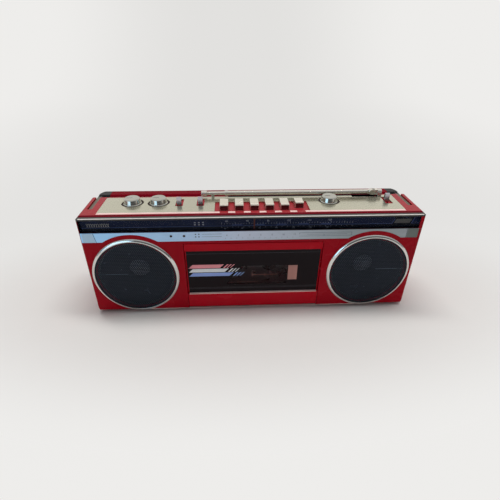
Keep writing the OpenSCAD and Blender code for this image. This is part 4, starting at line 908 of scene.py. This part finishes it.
def add_trough_shade():
    """Black painted shade in the antenna's trough, and a painted shadow of the antenna on the deck
    under it.
    """
    back = TROUGH_Y[1]
    points, faces = flat_on_top(*TROUGH_X, *TROUGH_Y, *TROUGH_Z)
    join(points, faces, *flat_on_top(*TROUGH_X, back - TROUGH_WALL, back, TROUGH_Z[1], DECK))
    add_piece("trough_painted_shade", points, faces, black_print_and_shade, "cabinet")
    points, faces = flat_on_top(*ANTENNA_SHADOW, DECK, DECK + ANTENNA_SHADOW_T)
    add_piece("antenna_painted_shadow", points, faces, black_print_and_shade, "cabinet")


def add_key_shade_and_highlights():
    """Painted shade on the keys' front faces, and painted highlights along their front edges."""
    for node in KEYS:
        low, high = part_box(node)
        x0, x1 = low.x / MM + KEY_MARGIN, high.x / MM - KEY_MARGIN
        y = (low.y - FRONT) / MM
        top = (high.z - BASE) / MM
        print_on_front(node + "_face", [bar(x0, x1, *KEY_FACE_Z)], y, key_front_shade, node,
                       KEY_FACE_T)
        points, faces = flat_on_top(x0, x1, *(y + set_back for set_back in KEY_LIP_Y),
                                    *(top + rise for rise in KEY_LIP_RISE))
        add_piece(node + "_lip", points, faces, key_lip, node)


def add_knob_marks():
    """Dark pointer lines on the knobs."""
    for node in KNOBS:
        low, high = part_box(node)
        x, y = (low.x + high.x) / 2 / MM, ((low.y + high.y) / 2 - FRONT) / MM
        top = (high.z - BASE) / MM
        points, faces = flat_on_top(x + MARK_X[0], x + MARK_X[1], y - MARK_HALF, y + MARK_HALF,
                                    *(top - sink for sink in MARK_SINK))
        add_piece(node + "_mark", points, faces, black_print_and_shade, node)


# Rear of the cabinet
VENT_X = 150
VENT_START = -22
VENT_PITCH = 3.4
VENT_COUNT = 14
VENT_SLOT = (0.0, 1.7, 58, 92)
VENT_SLAT = (1.8, 3.2, 57, 93)
VENT_SLOT_PROUD = 0.06
VENT_SLAT_PROUD = 0.6
RIDGE_X = 92
RIDGE_HALF = 11
RIDGES = (14, 1.1, 2.4, 7)
RIDGE_PROUD = 0.5
SCREW_X = (-193.5, 193.5)
SCREW_Z = (14.0, 98.0)
SCREW_CROSS = (1.9, 0.35)
SCREW_SINK = (1.96, 2.0)
BUSH_SECTION = ((2.0, 0.0), (3.7, 0.0), (3.7, 0.5), (3.3, 0.8), (2.3, 0.8), (2.0, 0.5))
BUSH_STEPS = 40


def rear_face():
    return (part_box("rear_case")[1].y - FRONT) / MM


def add_vents():
    """Slatted vents behind the loudspeakers."""
    rear = rear_face()
    starts = [side * VENT_X + VENT_START + i * VENT_PITCH for side in (-1, 1)
              for i in range(VENT_COUNT)]
    # The dark slots are sheets of painted shade between the raised slats.
    for name, (left, right, foot, top), proud, material, slot in (
            ("vent_slots", VENT_SLOT, VENT_SLOT_PROUD, recess_painted_shade, "black"),
            ("vent_slats", VENT_SLAT, VENT_SLAT_PROUD, red_plastic, "red")):
        outlines = [bar(x + left, x + right, foot, top) for x in starts]
        points, faces = plate_mesh(outlines, rear + proud, rear, on_front)
        add_piece(name, points, faces, material, "cabinet")


def add_battery_door_ridges():
    """Finger ridges at both ends of the battery door."""
    rear = rear_face()
    foot, height, pitch, count = RIDGES
    ridges = [bar(x - RIDGE_HALF, x + RIDGE_HALF, foot + i * pitch, foot + i * pitch + height)
              for x in (-RIDGE_X, RIDGE_X) for i in range(count)]
    points, faces = plate_mesh(ridges, rear + RIDGE_PROUD, rear, on_front)
    add_piece("battery_door_ridges", points, faces, red_plastic, "battery_lid")


def add_screw_slots():
    """Cross recesses in the rear screws' heads."""
    reach, half = SCREW_CROSS
    crosses = []
    for x in SCREW_X:
        for z in SCREW_Z:
            crosses.append(bar(x - reach, x + reach, z - half, z + half))
            crosses.append(bar(x - half, x + half, z - reach, z + reach))
    # The crosses are dark sheets of painted shade set into the screw heads.
    front, back = (rear_face() - sink for sink in SCREW_SINK)
    points, faces = plate_mesh(crosses, front, back, on_front)
    add_piece("screw_slots", points, faces, recess_painted_shade, "cabinet")


def add_jack_bush():
    """Metal bush round the headphone jack."""
    centre = middle("headphone_jack")
    rear = rear_face()
    points, faces = [], []
    add_ring(points, faces, (centre.x / MM, (centre.z - BASE) / MM),
             [(radius, rear + out) for radius, out in BUSH_SECTION], on_front, BUSH_STEPS)
    add_piece("jack_bush", points, faces, chrome, "cabinet")


# Stage; sizes are in m
FLOOR = rgb(230, 227, 224)
FLOOR_FRONT = rgb(238, 237, 235)
FLOOR_REAR = rgb(226, 225, 223)
FLOOR_SHADE = 0.992
PAPER_SPECULAR = 0.1
PAPER_ROUGHNESS = 0.85
PAPER_GRAIN = 40.0
GLOW_DEPTH = (-0.3, 0.3)
GLOW_SIDE = (0.2, 1.2)
GLOW_STRETCH = (0.75, 1.6, 1)
GLOW_START = (0.16, 0.38)
BACKDROP_Y = (-3.0, -1.0, 0.4, 1.6)
BACKDROP_BEND = 0.9
BACKDROP_BEND_STEPS = 15
BACKDROP_H = 3.2
BACKDROP_HALF = 5.0
SKY_COLOUR = (0.95, 0.97, 1.0, 1.0)
SKY_LEVELS = (0.15, 0.3)
SKY_SPAN = (0.0, 0.8)
ROOM_LEVELS = (0.12, 0.72)
ROOM_SPAN = (-0.6, 0.5)
ROOM_RISE = 0.8


def seen_rays(tree):
    """1 for rays from the camera, and for those mirrored or let through on their way."""
    path = tree.nodes.new("ShaderNodeLightPath")
    total = path.outputs["Is Camera Ray"]
    for kind in ("Is Glossy Ray", "Is Transmission Ray"):
        total = calculated(tree, "MAXIMUM", total, path.outputs[kind])
    return total


def backdrop_paper():
    """Paper lit by the lamps near the object; further away it glows with painted light, brighter in
    front and dimmer behind.
    """
    material, tree, shader = new_material("backdrop_paper")
    set_uniform(shader, 0.0, PAPER_SPECULAR)
    shader.inputs["Roughness"].default_value = PAPER_ROUGHNESS
    grain = noise(tree, coordinates(tree), PAPER_GRAIN)
    tree.links.new(two_tone(tree, grain, scaled(FLOOR, FLOOR_SHADE), FLOOR),
                   shader.inputs["Base Color"])
    glow = tree.nodes.new("ShaderNodeEmission")
    vector = coordinates(tree)
    behind = map_range(tree, axis_value(tree, vector, "Y"), GLOW_DEPTH, smooth=True)
    sideways = calculated(tree, "ABSOLUTE", axis_value(tree, vector, "X"))
    inside = map_range(tree, sideways, GLOW_SIDE, (1.0, 0.0), smooth=True)
    tone = calculated(tree, "MULTIPLY", behind, inside)
    # Painted light: the glow is dimmer behind the object than in front and at the sides.
    tree.links.new(two_tone(tree, tone, FLOOR_FRONT, FLOOR_REAR, WHOLE_SPAN), glow.inputs["Color"])
    away = distance(tree, coordinates(tree, GLOW_STRETCH))
    far = map_range(tree, away, GLOW_START, smooth=True)
    mix = tree.nodes.new("ShaderNodeMixShader")
    tree.links.new(calculated(tree, "MULTIPLY", far, seen_rays(tree)), mix.inputs["Fac"])
    tree.links.new(shader.outputs["BSDF"], mix.inputs[1])
    tree.links.new(glow.outputs["Emission"], mix.inputs[2])
    tree.links.new(mix.outputs["Shader"], tree.nodes["Material Output"].inputs["Surface"])
    return material


def add_backdrop():
    """Pale floor that curves up into a backdrop."""
    profile = [(y, 0.0) for y in BACKDROP_Y]
    far = BACKDROP_Y[-1]
    for i in range(1, BACKDROP_BEND_STEPS + 1):
        turn = math.radians(90 / BACKDROP_BEND_STEPS * i)
        profile.append((far + BACKDROP_BEND * math.sin(turn), BACKDROP_BEND * (1 - math.cos(turn))))
    profile.append((far + BACKDROP_BEND, BACKDROP_H))
    points = [(x, y, z) for y, z in profile for x in (-BACKDROP_HALF, BACKDROP_HALF)]
    faces = [[2 * i, 2 * i + 1, 2 * i + 3, 2 * i + 2] for i in range(len(profile) - 1)]
    mesh = bpy.data.meshes.new("backdrop")
    mesh.from_pydata(points, [], faces)
    mesh.shade_smooth()
    mesh.materials.append(backdrop_paper())
    backdrop = bpy.data.objects.new("backdrop", mesh)
    bpy.context.scene.collection.objects.link(backdrop)


def add_light(name, where, target, size, power, colour, mirrored_only=False):
    """An area lamp that either lights the surfaces or only shows in mirrors."""
    light = bpy.data.lights.new(name, "AREA")
    light.shape = "RECTANGLE"
    light.size, light.size_y = size
    light.energy = power
    light.color = colour
    lamp = bpy.data.objects.new(name, light)
    lamp.location = where
    lamp.rotation_euler = (Vector(target) - Vector(where)).to_track_quat("-Z", "Y").to_euler()
    lamp.visible_camera = False
    lamp.visible_diffuse = not mirrored_only
    lamp.visible_glossy = mirrored_only
    bpy.context.scene.collection.objects.link(lamp)


def add_world():
    """Soft light, weaker near the horizon; a darker room in mirrors; plain paper to the camera."""
    world = bpy.data.worlds.new("studio")
    world.use_nodes = True
    tree = world.node_tree
    sky = tree.nodes["Background"]
    sky.inputs["Color"].default_value = SKY_COLOUR
    source = tree.nodes.new("ShaderNodeTexCoord")
    split = tree.nodes.new("ShaderNodeSeparateXYZ")
    tree.links.new(source.outputs["Generated"], split.inputs["Vector"])
    raised = tree.nodes.new("ShaderNodeMath")
    raised.operation = "MULTIPLY_ADD"
    raised.inputs[1].default_value = ROOM_RISE
    tree.links.new(split.outputs["Z"], raised.inputs[0])
    tree.links.new(split.outputs["Y"], raised.inputs[2])
    room = map_range(tree, raised.outputs["Value"], ROOM_SPAN, ROOM_LEVELS, smooth=True)
    dome = map_range(tree, split.outputs["Z"], SKY_SPAN, SKY_LEVELS, smooth=True)
    path = tree.nodes.new("ShaderNodeLightPath")
    level = tree.nodes.new("ShaderNodeMix")
    tree.links.new(path.outputs["Is Glossy Ray"], level.inputs["Factor"])
    tree.links.new(dome, level.inputs["A"])
    tree.links.new(room, level.inputs["B"])
    tree.links.new(level.outputs["Result"], sky.inputs["Strength"])
    paper = tree.nodes.new("ShaderNodeBackground")
    paper.inputs["Color"].default_value = FLOOR_FRONT
    mix = tree.nodes.new("ShaderNodeMixShader")
    tree.links.new(path.outputs["Is Camera Ray"], mix.inputs["Fac"])
    tree.links.new(sky.outputs["Background"], mix.inputs[1])
    tree.links.new(paper.outputs["Background"], mix.inputs[2])
    tree.links.new(mix.outputs["Shader"], tree.nodes["World Output"].inputs["Surface"])
    bpy.context.scene.world = world


def add_lights():
    add_world()
    add_light("overhead", where=(0.05, 0.16, 1.7), target=(0.0, 0.0, 0.05), size=(1.5, 0.24),
              power=22.0, colour=(1.0, 0.985, 0.97))
    add_light("left_window", where=(-0.6, -0.68, 0.34), target=(-0.05, 0.0, 0.1), size=(0.62, 0.5),
              power=2.4, colour=(0.45, 0.74, 1.0), mirrored_only=True)


def add_camera():
    data = bpy.data.cameras.new("camera")
    data.lens = CAMERA_LENS
    data.sensor_width = CAMERA_SENSOR
    data.shift_x, data.shift_y = CAMERA_SHIFT
    camera = bpy.data.objects.new("camera", data)
    camera.location = CAMERA_PLACE
    camera.rotation_euler = Euler([math.radians(a) for a in CAMERA_TURN], "XYZ")
    bpy.context.scene.collection.objects.link(camera)
    bpy.context.scene.camera = camera


add_camera()
dress_nodes()
add_grilles()
add_dial_print()
add_dial_liner()
add_strip_print()
add_window_mask()
add_edge_highlights()
add_window_print()
add_rim_highlight()
add_dish_shade()
add_trough_shade()
add_key_shade_and_highlights()
add_knob_marks()
add_vents()
add_battery_door_ridges()
add_screw_slots()
add_jack_bush()
add_backdrop()
add_lights()
bpy.context.scene.view_settings.view_transform = "Standard"
